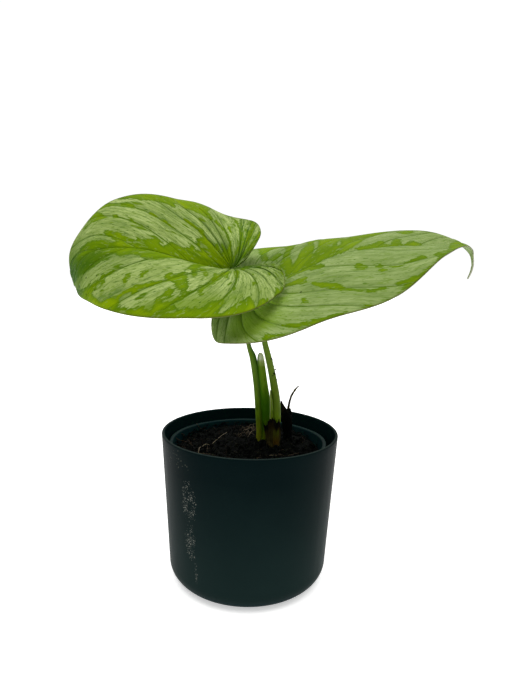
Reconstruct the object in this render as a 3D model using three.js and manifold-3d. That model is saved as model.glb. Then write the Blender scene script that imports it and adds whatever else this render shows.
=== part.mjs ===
// Potted philodendron mamei: two heart-shaped blades on their petioles, a new shoot, sheaths and an
// old stump rise from a creeping rhizome in soil, inside a grower's pot that stands in an outer pot.
// Lengths are millimetres and angles degrees, +Z is up, and the origin is the centre of the underside.
import * as THREE from "three";
import { mergeVertices } from "three/addons/utils/BufferGeometryUtils.js";
import Module from "manifold-3d";

const wasm = await Module();
wasm.setup();
const { Vector2, Vector3 } = THREE;
const { clamp, degToRad, lerp, smoothstep } = THREE.MathUtils;

// Driving dimensions
const GAP = 0.3;
const OUTER_POT = { height: 119.3, rimRadius: 70, toeRadius: 63.6, toeRound: 14.6, wall: 2.4 };
const INNER_POT = { height: 107.3, rimRadius: 63, topRadius: 61, baseRadius: 46.5, lip: 5, wall: 1 };
const INNER_POT_CENTRE = new Vector2(-2, 1);
const LATHE_SEGMENTS = 48;
const DRAIN = { count: 6, radius: 4, circle: 34 };
const SOIL = { level: 99, mound: 6.5, moundX: 14, moundY: 11, moundSpread: 24 };
const BLADE_THICKNESS = 0.8;
const RIB_DEPTH = 2.2;
const QUILT = 0.5;
const SINUS_BOW = -0.05;

// Each leaf is a flat heart bent into place. The outline runs from the sinus round one lobe to the
// tip; x follows the midrib from the junction and y is the distance from it. The pose has one row
// per station: x, arch, turn and twist of the midrib, then fold and curl of the left and right half.
const FRONT_LEAF = {
  junction: [-17, 1, 245.8],
  heading: 206.5,
  pitch: -3.5,
  roll: -40,
  length: 172,
  width: 74,
  lobe: 37,
  shoulder: 0.945,
  sinus: [0.09, 0.135],
  fan: 0.69,
  veinBow: 0.13,
  pose: [
    [-45, 76, -2, 12, 13, -15, -9, 8],
    [0, 0, 0, 0, 43, -33, 36, -47],
    [45, -16, -10, 3, 21, -32, 21, -19],
    [90, 13, -11, -17, 14, -35, 6, -30],
    [125, 72, -9, -27, 0, -17, -7, -14],
    [160, 106, -8, -34, 7, -6, 17, -6],
    [200, 165, 0, -5, 1, 2, 1, 3],
  ],
};
const BACK_LEAF = {
  junction: [1.1, 0, 233.9],
  heading: -20,
  pitch: 13,
  roll: 40,
  length: 203,
  width: 79,
  lobe: 35.5,
  shoulder: 0.95,
  sinus: [0.09, 0.09],
  fan: 0.65,
  veinBow: 0.24,
  pose: [
    [-45, 7, 18, -9, 11, -8, 3, -20],
    [0, 0, 0, 0, 3, -26, 13, -6],
    [45, -7, 11, -1, -3, -22, 13, -11],
    [90, 19, 24, -5, -1, -27, 15, -34],
    [125, 28, 28, -9, 4, -21, 12, -7],
    [160, 29, 26, -9, 3, 7, 13, 4],
    [200, 131, 11, 1, -1, 3, 0, 4],
  ],
};
const VEIN_BANDS = 11;
const BAND_LINES = [0, 0.07, 0.24, 0.45, 0.66, 0.85, 1];

// Stems: rows of x, y, z, radius across and radius front to back
const FRONT_PETIOLE = [
  [9, 16, 89, 3, 3],
  [8, 18, 105, 3.4, 3.4],
  [7, 18, 126, 3.1, 3.1],
  [6.4, 17, 139, 3, 3],
  [3.7, 14, 157, 2.7, 2.6],
  [0.6, 11, 172, 2.3, 2.2],
  [-2.5, 7, 187, 1.8, 1.8],
  [-7.5, 5.2, 209, 1.7, 1.7],
  [-12.2, 5.2, 227, 1.7, 1.7],
  [-15.6, 4.7, 237, 1.7, 1.7],
  [-17.7, 3, 243.45, 1.6, 1.6],
];
const BACK_PETIOLE = [
  [18.4, 11, 90, 3, 3],
  [18.4, 6, 104, 3.2, 3.2],
  [19.4, 6, 117, 4.1, 3.8],
  [20.1, 6, 126, 4.1, 3.8],
  [20.1, 6, 138, 3.7, 3.5],
  [19.3, 6, 147, 3.4, 3.2],
  [17.2, 5, 159, 3, 3],
  [13.8, 4, 174, 2.7, 2.7],
  [9.4, 3, 191, 2.4, 2.4],
  [5.2, 1.6, 211, 2.1, 2.1],
  [3.2, 2, 225, 2, 2],
  [2.4, 1.95, 231.5, 1.9, 1.9],
];
const NEW_SHOOT = [
  [11.5, 15.5, 90, 3.4, 3.2],
  [11.7, 15.5, 109, 3.5, 3.4],
  [11.9, 15, 124, 3.4, 3.3],
  [12, 13.5, 146, 3.6, 3.2],
  [10.6, 12, 154, 3.3, 3],
  [8.6, 10.5, 166, 3, 2.7],
  [7.4, 9.5, 174, 2.6, 2.3],
  [6.9, 9, 178.5, 1.7, 1.5],
  [6.8, 8.8, 180, 0.5, 0.5],
];
const BACK_SHEATH = [
  [17, 3.4, 101, 1.6, 2.4],
  [16.8, 4, 118, 1.7, 2.6],
  [16.4, 4.4, 130, 1.5, 2.4],
  [16.2, 4.4, 142, 1.1, 1.9],
  [15.4, 4.2, 148.5, 0.6, 0.9],
  [14.8, 4, 151, 0.35, 0.4],
];
const STUMP = [
  [31, 20, 90, 3.6, 3.4],
  [31.2, 20, 104, 3.7, 3.5],
  [31, 20, 118, 3.4, 3.2],
  [31, 20, 128, 3.1, 2.8],
  [30.8, 20, 131.5, 2.2, 2],
];
const STUMP_POINT = [
  [29.5, 20, 112, 2.6, 2.2],
  [28, 20, 124, 2.2, 1.8],
  [26.4, 20, 133, 1.4, 1.2],
  [25.2, 20, 138.4, 0.4, 0.4],
];
const DRY_THREAD = [
  [30.8, 20, 129, 0.8, 0.8],
  [31.6, 20, 134, 0.6, 0.6],
  [34.2, 20, 143.7, 0.5, 0.5],
  [36.6, 20, 148.5, 0.45, 0.45],
  [39.2, 20, 151.7, 0.4, 0.4],
];
const RHIZOME = [
  [-2, 21, 87, 3, 3],
  [3, 19, 88, 4.8, 4.8],
  [10, 15.5, 89, 6.2, 6.2],
  [18, 13, 89, 6.5, 6.5],
  [26, 16, 90, 6.2, 6.2],
  [32, 19.5, 90.5, 5.2, 5.2],
  [37, 22, 91, 3, 3],
];
const ROOTS = [
  [[5, 18, 86, 1.6, 1.6], [-6, 22, 74, 1.4, 1.4], [-20, 24, 58, 1.2, 1.2], [-26, 20, 40, 0.9, 0.9]],
  [[12, 14, 85, 1.6, 1.6], [8, 2, 72, 1.4, 1.4], [-4, -12, 60, 1.2, 1.2], [-10, -20, 42, 0.9, 0.9]],
  [[20, 12, 85, 1.7, 1.7], [24, 4, 70, 1.5, 1.5], [22, -8, 52, 1.3, 1.3], [16, -14, 30, 0.9, 0.9]],
  [[29, 17, 87, 1.6, 1.6], [37, 20, 74, 1.4, 1.4], [34, 24, 56, 1.2, 1.2], [27, 22, 36, 0.9, 0.9]],
];
// A dry torn collar round the foot of the back petiole: angle, radius and upper edge
const DRY_SHEATH = {
  centre: new Vector2(19.2, 6),
  bottom: 110,
  footRadius: 4.6,
  wall: 0.8,
  rows: [
    [-200, 5.4, 119],
    [-175, 7.2, 122],
    [-160, 5.6, 120],
    [-140, 5, 125],
    [-115, 4.9, 122],
    [-95, 5.2, 126],
    [-70, 5, 121],
    [-45, 5.3, 124],
    [-15, 5.4, 119],
  ],
};

// The value of every column between rows, by row number
function splineRow(rows, t) {
  const i = clamp(Math.floor(t), 0, rows.length - 2);
  const u = t - i;
  const last = rows.length - 1;
  return rows[0].map((_, c) => {
    const p1 = rows[i][c];
    const p2 = rows[i + 1][c];
    const p0 = i > 0 ? rows[i - 1][c] : 2 * p1 - p2;
    const p3 = i + 2 <= last ? rows[i + 2][c] : 2 * p2 - p1;
    const slope = p2 - p0;
    const square = 2 * p0 - 5 * p1 + 4 * p2 - p3;
    const cube = 3 * p1 - p0 - 3 * p2 + p3;
    return 0.5 * (2 * p1 + slope * u + square * u ** 2 + cube * u ** 3);
  });
}

// The value of every column of a pose at distance x along the midrib
function poseAt(rows, x) {
  const last = rows.length - 1;
  const s = clamp(x, rows[0][0], rows[last][0]);
  let i = 0;
  while (i < last - 1 && s >= rows[i + 1][0]) {
    i += 1;
  }
  const slope = (k, c) => {
    const before = rows[Math.max(k - 1, 0)];
    const after = rows[Math.min(k + 1, last)];
    return (after[c] - before[c]) / (after[0] - before[0]);
  };
  const span = rows[i + 1][0] - rows[i][0];
  const u = (s - rows[i][0]) / span;
  const blend = 3 * u ** 2 - 2 * u ** 3;
  return rows[i].map((value, c) => {
    const leave = (u ** 3 - 2 * u ** 2 + u) * slope(i, c) * span;
    const arrive = (u ** 3 - u ** 2) * slope(i + 1, c) * span;
    return value + (rows[i + 1][c] - value) * blend + leave + arrive;
  });
}

function outlineOf({ length, width, lobe, shoulder, sinus }, side) {
  return [
    [0, 0],
    [-0.5 * lobe, sinus[side > 0 ? 0 : 1] * width],
    [-0.97 * lobe, 0.4 * width],
    [-0.78 * lobe, 0.78 * width],
    [0.1 * length, width],
    [0.3 * length, shoulder * width],
    [0.5 * length, 0.74 * width],
    [0.72 * length, 0.4 * width],
    [0.88 * length, 0.1 * width],
    [length, 1],
  ];
}

// Frames along the bent midrib, one every FRAME_STEP millimetres both ways from the junction
const FRAME_STEP = 4;

function midribFrames(leaf) {
  const heading = degToRad(leaf.heading);
  const pitch = degToRad(leaf.pitch);
  const roll = degToRad(leaf.roll);
  const along = new Vector3(
    Math.cos(pitch) * Math.cos(heading),
    Math.cos(pitch) * Math.sin(heading),
    Math.sin(pitch),
  );
  const across = new Vector3(-Math.sin(heading), Math.cos(heading), 0).applyAxisAngle(along, roll);
  const first = {
    point: new Vector3(...leaf.junction),
    along,
    across,
    up: along.clone().cross(across),
  };
  const frames = new Map([[0, first]]);
  const back = Math.ceil((leaf.lobe + 4) / FRAME_STEP);
  const ahead = Math.ceil((leaf.length + 4) / FRAME_STEP);
  for (const [way, count] of [[1, ahead], [-1, back]]) {
    for (let k = 0; k < count; k += 1) {
      const from = frames.get(way * k);
      const now = poseAt(leaf.pose, way * k * FRAME_STEP);
      const next = poseAt(leaf.pose, way * (k + 1) * FRAME_STEP);
      const [arch, turn, twist] = [1, 2, 3].map((c) => degToRad(next[c] - now[c]));
      const f = { along: from.along.clone(), across: from.across.clone(), up: from.up.clone() };
      f.along.applyAxisAngle(f.across, arch);
      f.up.applyAxisAngle(f.across, arch);
      f.along.applyAxisAngle(f.up, turn);
      f.across.applyAxisAngle(f.up, turn);
      f.across.applyAxisAngle(f.along, twist);
      f.up.applyAxisAngle(f.along, twist);
      const stride = from.along.clone().add(f.along).multiplyScalar((way * FRAME_STEP) / 2);
      f.point = from.point.clone().add(stride);
      frames.set(way * (k + 1), f);
    }
  }
  return frames;
}

function frameAt(frames, x) {
  const k = Math.floor(x / FRAME_STEP);
  const low = frames.get(k);
  const high = frames.get(k + 1);
  const mix = (name) => low[name].clone().lerp(high[name], x / FRAME_STEP - k);
  return { point: mix("point"), across: mix("across").normalize(), up: mix("up").normalize() };
}

// A point of the flat heart: a is the place round the margin, b the way out along the vein to it.
function planPoint(leaf, a, b, side) {
  const outline = outlineOf(leaf, side);
  const [ex, ey] = splineRow(outline, a * (outline.length - 1));
  const root = leaf.length * clamp((a - leaf.fan) / (1 - leaf.fan), 0, 1);
  const bow = lerp(SINUS_BOW, leaf.veinBow, smoothstep(a, 0.06, 0.3));
  const cx = (root + ex) / 2 - bow * ey;
  const cy = ey / 2 + bow * (ex - root);
  const x = (1 - b) ** 2 * root + 2 * b * (1 - b) * cx + b ** 2 * ex;
  const y = 2 * b * (1 - b) * cy + b ** 2 * ey;
  return [x, side * y];
}

// The upper and lower surface of a blade at a place of the flat heart
function bladePoints(leaf, frames, a, b, side) {
  const [x, y] = planPoint(leaf, a, b, side);
  const { point, across, up } = frameAt(frames, x);
  const pose = poseAt(leaf.pose, x);
  const half = BLADE_THICKNESS / 2;
  if (Math.abs(y) < 1e-6) {
    const steep = half / Math.cos(degToRad((pose[4] + pose[6]) / 2));
    const rib = RIB_DEPTH * clamp(1 - x / leaf.length, 0, 1);
    return [point.clone().addScaledVector(up, steep), point.addScaledVector(up, -steep - rib)];
  }
  const way = y > 0 ? 1 : -1;
  const fold = degToRad(way > 0 ? pose[4] : pose[6]);
  const bent = degToRad(way > 0 ? pose[5] : pose[7]) / 60;
  const curl = Math.abs(bent) < 1e-5 ? 1e-5 : bent;
  const angle = fold + curl * Math.abs(y);
  const out = (Math.sin(angle) - Math.sin(fold)) / curl;
  const rise = (Math.cos(fold) - Math.cos(angle)) / curl;
  point.addScaledVector(across, way * out).addScaledVector(up, rise);
  const normal = up.multiplyScalar(Math.cos(angle));
  normal.addScaledVector(across, -way * Math.sin(angle)).normalize();
  const swell = Math.sin(Math.PI * ((a * VEIN_BANDS) % 1)) * Math.sin(Math.PI * b) ** 0.7;
  point.addScaledVector(normal, QUILT * swell);
  const top = point.clone().addScaledVector(normal, half);
  return [top, point.addScaledVector(normal, -half)];
}

// Loose triangles collected into one closed solid
class Skin {
  constructor() {
    this.positions = [];
  }

  triangle(...corners) {
    const [p, q, r] = corners;
    if (p.distanceTo(q) > 1e-4 && q.distanceTo(r) > 1e-4 && r.distanceTo(p) > 1e-4) {
      corners.forEach((c) => this.positions.push(c.x, c.y, c.z));
    }
  }

  quad(p, q, r, s, flip = false) {
    if (flip) {
      this.triangle(p, s, r);
      this.triangle(p, r, q);
    } else {
      this.triangle(p, q, r);
      this.triangle(p, r, s);
    }
  }

  solid() {
    const geometry = new THREE.BufferGeometry();
    geometry.setAttribute("position", new THREE.Float32BufferAttribute(this.positions, 3));
    return solidOf(geometry);
  }
}

function solidOf(geometry) {
  const bare = geometry.clone();
  bare.deleteAttribute("normal");
  bare.deleteAttribute("uv");
  const welded = mergeVertices(bare, 1e-4);
  const index = welded.index.array;
  const kept = [];
  for (let i = 0; i < index.length; i += 3) {
    const [p, q, r] = index.slice(i, i + 3);
    if (p !== q && q !== r && r !== p) {
      kept.push(p, q, r);
    }
  }
  return new wasm.Manifold(
    new wasm.Mesh({
      numProp: 3,
      vertProperties: welded.getAttribute("position").array,
      triVerts: new Uint32Array(kept),
    }),
  );
}

// Vein lines lie closer together in the last bands, where the drip tip curls.
function veinLines() {
  const lines = [0];
  for (let band = 0; band < VEIN_BANDS; band += 1) {
    const steps = band < 8 ? Math.min(4, band + 2) : 6;
    for (let k = 1; k <= steps; k += 1) {
      lines.push((band + k / steps) / VEIN_BANDS);
    }
  }
  return lines;
}

function bladeSolid(leaf) {
  const frames = midribFrames(leaf);
  const lines = veinLines();
  const skin = new Skin();
  for (const side of [1, -1]) {
    const net = lines.map((a) => BAND_LINES.map((b) => bladePoints(leaf, frames, a, b, side)));
    const flip = side < 0;
    const edge = BAND_LINES.length - 1;
    for (let i = 0; i < lines.length - 1; i += 1) {
      for (let j = 0; j < edge; j += 1) {
        const [p, q, r, s] = [net[i][j], net[i + 1][j], net[i + 1][j + 1], net[i][j + 1]];
        skin.quad(p[0], q[0], r[0], s[0], flip);
        skin.quad(p[1], q[1], r[1], s[1], !flip);
      }
      const [p, q] = [net[i][edge], net[i + 1][edge]];
      skin.quad(p[0], q[0], q[1], p[1], flip);
    }
    const tip = net[lines.length - 1];
    for (let j = 0; j < edge; j += 1) {
      skin.quad(tip[j + 1][0], tip[j][0], tip[j][1], tip[j + 1][1], flip);
    }
  }
  return skin.solid();
}

// A stem swept along rows of centre and radii, closed at both ends
function stemSolid(rows, sides = 12, stepsPerRow = 1, grow = 0) {
  const count = (rows.length - 1) * stepsPerRow;
  const centres = [];
  const rings = [];
  for (let k = 0; k <= count; k += 1) {
    const [x, y, z, across, deep] = splineRow(rows, k / stepsPerRow);
    const centre = new Vector3(x, y, z);
    const before = splineRow(rows, Math.max(k / stepsPerRow - 0.1, 0));
    const after = splineRow(rows, Math.min(k / stepsPerRow + 0.1, rows.length - 1));
    const along = new Vector3(...after.slice(0, 3)).sub(new Vector3(...before.slice(0, 3))).normalize();
    if (k === 0 || k === count) {
      centre.addScaledVector(along, k === 0 ? -grow : grow);
    }
    const right = new Vector3(0, 1, 0).cross(along).normalize();
    const back = along.clone().cross(right);
    const ring = [];
    for (let s = 0; s < sides; s += 1) {
      const angle = (2 * Math.PI * s) / sides;
      ring.push(
        centre
          .clone()
          .addScaledVector(right, (across + grow) * Math.cos(angle))
          .addScaledVector(back, (deep + grow) * Math.sin(angle)),
      );
    }
    centres.push(centre);
    rings.push(ring);
  }
  const skin = new Skin();
  for (let s = 0; s < sides; s += 1) {
    const t = (s + 1) % sides;
    for (let k = 0; k < count; k += 1) {
      skin.quad(rings[k][s], rings[k][t], rings[k + 1][t], rings[k + 1][s]);
    }
    skin.triangle(centres[0], rings[0][t], rings[0][s]);
    skin.triangle(centres[count], rings[count][s], rings[count][t]);
  }
  return skin.solid();
}

function latheSolid(profile, centre = new Vector2(0, 0)) {
  const points = profile.map(([r, z]) => new Vector2(r, z));
  const geometry = new THREE.LatheGeometry(points, LATHE_SEGMENTS);
  geometry.rotateX(Math.PI / 2);
  geometry.translate(centre.x, centre.y, 0);
  return solidOf(geometry);
}

function arc(cx, cz, radius, from, to, steps) {
  return Array.from({ length: steps + 1 }, (_, k) => {
    const angle = degToRad(from + ((to - from) * k) / steps);
    return [cx + radius * Math.cos(angle), cz + radius * Math.sin(angle)];
  });
}

function outerPot() {
  const { height, rimRadius, toeRadius, toeRound, wall } = OUTER_POT;
  const lip = wall / 2;
  return latheSolid([
    [0, 0],
    ...arc(toeRadius - toeRound, toeRound, toeRound, -90, 0, 4),
    ...arc(rimRadius - lip, height - lip, lip, 0, 180, 4),
    ...arc(toeRadius - toeRound, toeRound, toeRound - wall, 0, -90, 3),
    [0, wall],
  ]);
}

const innerFloor = OUTER_POT.wall + GAP;
const innerTop = innerFloor + INNER_POT.height;
const innerTaper =
  (INNER_POT.topRadius - INNER_POT.baseRadius) / (INNER_POT.height - INNER_POT.lip);

// Radius of the outside of the grower's pot wall at height z
function innerRadius(z) {
  return INNER_POT.baseRadius + (z - innerFloor) * innerTaper;
}

function innerPot() {
  const { rimRadius, topRadius, lip, wall } = INNER_POT;
  let pot = latheSolid(
    [
      [0, innerFloor],
      [INNER_POT.baseRadius, innerFloor],
      [topRadius, innerTop - lip],
      [rimRadius - 0.2, innerTop - lip + wall],
      [rimRadius, innerTop - 1],
      [rimRadius - 0.8, innerTop],
      [topRadius - 0.2, innerTop],
      [topRadius - wall, innerTop - 1],
      [innerRadius(innerTop - lip) - wall, innerTop - lip],
      [innerRadius(innerFloor + wall) - wall, innerFloor + wall],
      [0, innerFloor + wall],
    ],
    INNER_POT_CENTRE,
  );
  for (let k = 0; k < DRAIN.count; k += 1) {
    const angle = (2 * Math.PI * (k + 0.5)) / DRAIN.count;
    const drain = new THREE.CylinderGeometry(DRAIN.radius, DRAIN.radius, 4 * wall, 12);
    drain.rotateX(Math.PI / 2);
    drain.translate(
      INNER_POT_CENTRE.x + DRAIN.circle * Math.cos(angle),
      INNER_POT_CENTRE.y + DRAIN.circle * Math.sin(angle),
      innerFloor + wall / 2,
    );
    pot = pot.subtract(solidOf(drain));
  }
  return pot;
}

// Height of the soil surface: a low mound round the stems, with soft lumps
function soilHeight(x, y) {
  const away = ((x - SOIL.moundX) ** 2 + (y - SOIL.moundY) ** 2) / (2 * SOIL.moundSpread ** 2);
  const lumps =
    0.8 * Math.sin(0.31 * x + 1.3) * Math.cos(0.27 * y - 0.4) +
    0.6 * Math.sin(0.62 * x - 0.47 * y) +
    0.5 * Math.cos(0.41 * x + 0.73 * y + 0.8);
  return SOIL.level + SOIL.mound * Math.exp(-away) + lumps;
}

function soilBody() {
  const bottom = innerFloor + INNER_POT.wall + GAP;
  const inside = (z) => innerRadius(z) - INNER_POT.wall - GAP;
  const rim = inside(SOIL.level - 2);
  const rings = [1, 0.9, 0.78, 0.66, 0.53, 0.4, 0.27, 0.13];
  const profile = [
    [0, bottom],
    [inside(bottom), bottom],
    [inside(SOIL.level - 4), SOIL.level - 4],
    ...rings.map((share) => [share * rim, SOIL.level]),
    [0, SOIL.level],
  ];
  const points = profile.map(([r, z]) => new Vector2(r, z));
  const geometry = new THREE.LatheGeometry(points, LATHE_SEGMENTS);
  geometry.rotateX(Math.PI / 2);
  geometry.translate(INNER_POT_CENTRE.x, INNER_POT_CENTRE.y, 0);
  const position = geometry.getAttribute("position");
  for (let i = 0; i < position.count; i += 1) {
    if (position.getZ(i) > SOIL.level - 0.01) {
      position.setZ(i, soilHeight(position.getX(i), position.getY(i)));
    }
  }
  return solidOf(geometry);
}

// The torn collar: a thin upright sheet round part of the back petiole's foot
function drySheath() {
  const { centre, bottom, footRadius, wall, rows } = DRY_SHEATH;
  const steps = (rows.length - 1) * 2;
  const skin = new Skin();
  const corner = (angle, radius, z) =>
    new Vector3(
      centre.x + radius * Math.cos(degToRad(angle)),
      centre.y + radius * Math.sin(degToRad(angle)),
      z,
    );
  const columns = Array.from({ length: steps + 1 }, (_, k) => {
    const [angle, radius, top] = splineRow(rows, k / 2);
    return [
      corner(angle, footRadius + wall, bottom),
      corner(angle, radius + wall, top),
      corner(angle, radius, top),
      corner(angle, footRadius, bottom),
    ];
  });
  for (let k = 0; k < steps; k += 1) {
    const [p, q] = [columns[k], columns[k + 1]];
    for (let side = 0; side < 4; side += 1) {
      const next = (side + 1) % 4;
      skin.quad(p[side], q[side], q[next], p[next]);
    }
  }
  skin.quad(...columns[0]);
  skin.quad(...columns[steps], true);
  return skin.solid();
}

// The largest body left after a cut
function largest(solid) {
  return solid.decompose().reduce((best, body) => (body.volume() > best.volume() ? body : best));
}

// A stem with its neighbours cut away, so a small gap stays between them
function fitted(stem, ...neighbours) {
  return largest(neighbours.reduce((left, other) => left.subtract(other), stem));
}

const rhizomeOf = (grow) =>
  ROOTS.reduce(
    (body, root) => body.add(stemSolid(root, 6, 2, grow)),
    stemSolid(RHIZOME, 12, 1, grow),
  );
const stumpOf = (grow) =>
  stemSolid(STUMP, 10, 1, grow)
    .add(stemSolid(STUMP_POINT, 8, 1, grow))
    .add(stemSolid(DRY_THREAD, 6, 1, grow));

const rhizomeClear = rhizomeOf(GAP);
const frontClear = stemSolid(FRONT_PETIOLE, 12, 1, GAP);
const backClear = stemSolid(BACK_PETIOLE, 12, 1, GAP);
const shootClear = stemSolid(NEW_SHOOT, 12, 1, GAP);
const sheathClear = stemSolid(BACK_SHEATH, 10, 1, GAP);
const stumpClear = stumpOf(GAP);

const solids = {
  outer_pot: [outerPot(), 0x14241f],
  inner_pot: [innerPot(), 0x18211f],
  soil: [
    fitted(soilBody(), rhizomeClear, frontClear, backClear, shootClear, sheathClear, stumpClear),
    0x2c2119,
  ],
  rhizome: [rhizomeOf(0), 0x6a5534],
  leaf_front_blade: [bladeSolid(FRONT_LEAF), 0x6f9a48],
  leaf_front_petiole: [fitted(stemSolid(FRONT_PETIOLE), rhizomeClear), 0x4f7a1e],
  leaf_back_blade: [bladeSolid(BACK_LEAF), 0x7ba650],
  leaf_back_petiole: [fitted(stemSolid(BACK_PETIOLE), rhizomeClear), 0x5a7d1c],
  new_shoot: [fitted(stemSolid(NEW_SHOOT), rhizomeClear, frontClear), 0x8fae5a],
  back_sheath: [fitted(stemSolid(BACK_SHEATH, 10), backClear), 0xa8b878],
  dry_sheath: [fitted(drySheath(), backClear, sheathClear), 0x4a3622],
  old_stump: [fitted(stumpOf(0), rhizomeClear), 0x2e261f],
};

const plant = new THREE.Group();
plant.name = "potted_philodendron";
for (const [name, [solid, colour]] of Object.entries(solids)) {
  const mesh = solid.getMesh();
  const geometry = new THREE.BufferGeometry();
  geometry.setAttribute("position", new THREE.BufferAttribute(mesh.vertProperties, 3));
  geometry.setIndex(new THREE.BufferAttribute(mesh.triVerts, 1));
  const material = new THREE.MeshStandardMaterial({ color: colour, roughness: 0.7 });
  const piece = new THREE.Mesh(geometry, material);
  piece.name = name;
  plant.add(piece);
}

export default plant;
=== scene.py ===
# %% [markdown]
# # A potted philodendron mamei
# Two heart-shaped leaves with silver streaks stand on upright stalks in a grower's pot, which is set
# in a dark green outer pot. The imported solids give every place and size. This script puts finer
# forms where the solids are and gives each one its finish, so that it can be looked at close by.

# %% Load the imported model
import math
import random
import bmesh
import bpy
from mathutils import Euler, Matrix, Quaternion, Vector, noise


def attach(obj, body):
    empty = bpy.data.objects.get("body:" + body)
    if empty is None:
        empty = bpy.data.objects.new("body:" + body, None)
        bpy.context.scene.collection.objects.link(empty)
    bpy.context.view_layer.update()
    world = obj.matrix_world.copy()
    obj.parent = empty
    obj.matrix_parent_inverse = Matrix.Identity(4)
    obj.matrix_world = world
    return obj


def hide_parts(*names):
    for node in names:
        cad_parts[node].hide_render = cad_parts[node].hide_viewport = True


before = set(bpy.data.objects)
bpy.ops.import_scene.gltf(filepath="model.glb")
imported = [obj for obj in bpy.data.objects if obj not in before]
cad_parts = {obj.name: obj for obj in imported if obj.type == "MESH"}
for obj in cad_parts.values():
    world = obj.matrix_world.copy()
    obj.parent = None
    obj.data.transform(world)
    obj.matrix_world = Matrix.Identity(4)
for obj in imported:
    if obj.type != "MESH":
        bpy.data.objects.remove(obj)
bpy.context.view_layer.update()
MM = 0.001
print("solids in the frame:", sorted(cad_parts))

# %% [markdown]
# ## Camera
# The plant was photographed from a little above the leaves, at arm's length, with a wide lens. The
# camera is set from that measured place and direction. The lens length comes from the fitted view:
# 526 pixels of focal length over a frame 700 pixels tall, on a sensor whose long side is 36 mm.

# %% Camera
LOOK_AT = Vector((8.2, 0, 184)) * MM
DISTANCE = 414 * MM
ELEVATION = math.radians(8.3)
ROLL = math.radians(1.47)
FOCAL_PIXELS, FRAME_PIXELS, SENSOR = 526, 700, 36

camera = bpy.data.objects.new("camera", bpy.data.cameras.new("camera"))
bpy.context.scene.collection.objects.link(camera)
bpy.context.scene.camera = camera
camera.data.sensor_width = SENSOR
camera.data.lens = SENSOR * FOCAL_PIXELS / FRAME_PIXELS
camera.data.clip_start = 0.01
camera.location = LOOK_AT + DISTANCE * Vector((0, -math.cos(ELEVATION), math.sin(ELEVATION)))
tilt = Matrix.Rotation(math.pi / 2 - ELEVATION, 3, "X")
camera.rotation_euler = (tilt @ Matrix.Rotation(ROLL, 3, "Z")).to_euler()
print("camera at", [round(c, 3) for c in camera.location])

# %% [markdown]
# ## Colours and nodes
# Colours are written as the hex values that a screen shows, and one function turns them into the
# linear values that the shaders work in. A second small function adds a node with its settings and
# its links, so that the world and each finish below read as a recipe.

# %% Colour and node helpers


def tint(code):
    """The linear colour of a screen hex value such as #93a761."""
    parts = [int(code[i : i + 2], 16) / 255 for i in (1, 3, 5)]
    linear = [c / 12.92 if c <= 0.04045 else ((c + 0.055) / 1.055) ** 2.4 for c in parts]
    return (*linear, 1)


def add(tree, kind, inputs=None, **settings):
    """Adds a shader node with its settings. An input is a value, a socket or a node.

    A node stands for its first output, or for its colour if it mixes colours.
    """
    node = tree.nodes.new("ShaderNode" + kind)
    for key, value in settings.items():
        setattr(node, key, value)
    for key, value in (inputs or {}).items():
        if isinstance(value, bpy.types.Node):
            value = value.outputs[2 if getattr(value, "data_type", "") == "RGBA" else 0]
        if isinstance(value, bpy.types.NodeSocket):
            tree.links.new(value, node.inputs[key])
        else:
            node.inputs[key].default_value = value
    return node


# %% [markdown]
# ## Studio
# The photograph is a plain product picture: a white table that glows a little, as a sheet of lit
# acrylic does, a large soft source overhead and a lit backdrop. The room behind the camera is dim,
# which is why the pot's front stays dark and only its sides catch the light. The world gives the
# light from all round: its strength follows the direction it comes from, and where the camera sees
# it directly it is plain white.

# %% Studio
floor_mesh = bmesh.new()
bmesh.ops.create_grid(floor_mesh, x_segments=1, y_segments=1, size=6)
floor = bpy.data.objects.new("floor", bpy.data.meshes.new("floor"))
floor_mesh.to_mesh(floor.data)
floor_mesh.free()
bpy.context.scene.collection.objects.link(floor)

overhead = bpy.data.lights.new("overhead_diffuser", "SUN")
overhead.energy = 2.3
overhead.angle = math.radians(60)
lamp = bpy.data.objects.new("overhead_diffuser", overhead)
bpy.context.scene.collection.objects.link(lamp)
lamp.rotation_euler = Vector((0.0, 0.1, -1)).to_track_quat("-Z", "Y").to_euler()

world = bpy.data.worlds.new("studio")
bpy.context.scene.world = world
world.use_nodes = True
sky = world.node_tree
sky.nodes.clear()

way = add(sky, "SeparateXYZ", {0: add(sky, "TexCoord").outputs["Generated"]})
above = add(sky, "MapRange", {"Value": way.outputs["Z"], "From Min": 0.05, "From Max": 0.8, "To Min": 0.45,
                              "To Max": 1.15}, interpolation_type="SMOOTHSTEP")
behind = add(sky, "MapRange", {"Value": way.outputs["Y"], "From Min": -0.7, "From Max": 0.7, "To Min": 0.55,
                               "To Max": 1.25}, interpolation_type="SMOOTHSTEP")
round_light = add(sky, "Math", {0: above, 1: behind}, operation="MULTIPLY")
seen = add(sky, "LightPath").outputs["Is Camera Ray"]
strength = add(sky, "Mix", {0: seen, 2: round_light, 3: 1.3}, data_type="FLOAT")
add(sky, "OutputWorld", {"Surface": add(sky, "Background", {"Strength": strength})})

bpy.context.scene.view_settings.view_transform = "Standard"

# %% [markdown]
# ## Finishes and pieces
# A finish starts as an empty node tree, and its recipe ends with the shader. A piece is a finished
# mesh that rides on the plant's one body and hides the solid that it stands for.

# %% Finish and piece helpers


def new_finish(name):
    """An empty material with its node tree, ready for a recipe."""
    material = bpy.data.materials.new(name)
    material.use_nodes = True
    material.node_tree.nodes.clear()
    return material, material.node_tree


def set_stops(ramp, stops):
    """Gives a colour ramp its tones, as places on it with hex colours, and returns it."""
    elements = ramp.color_ramp.elements
    for element, (spot, code) in zip(elements, (stops[0], stops[-1])):
        element.position, element.color = spot, tint(code)
    for spot, code in stops[1:-1]:
        elements.new(spot).color = tint(code)
    return ramp


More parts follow.
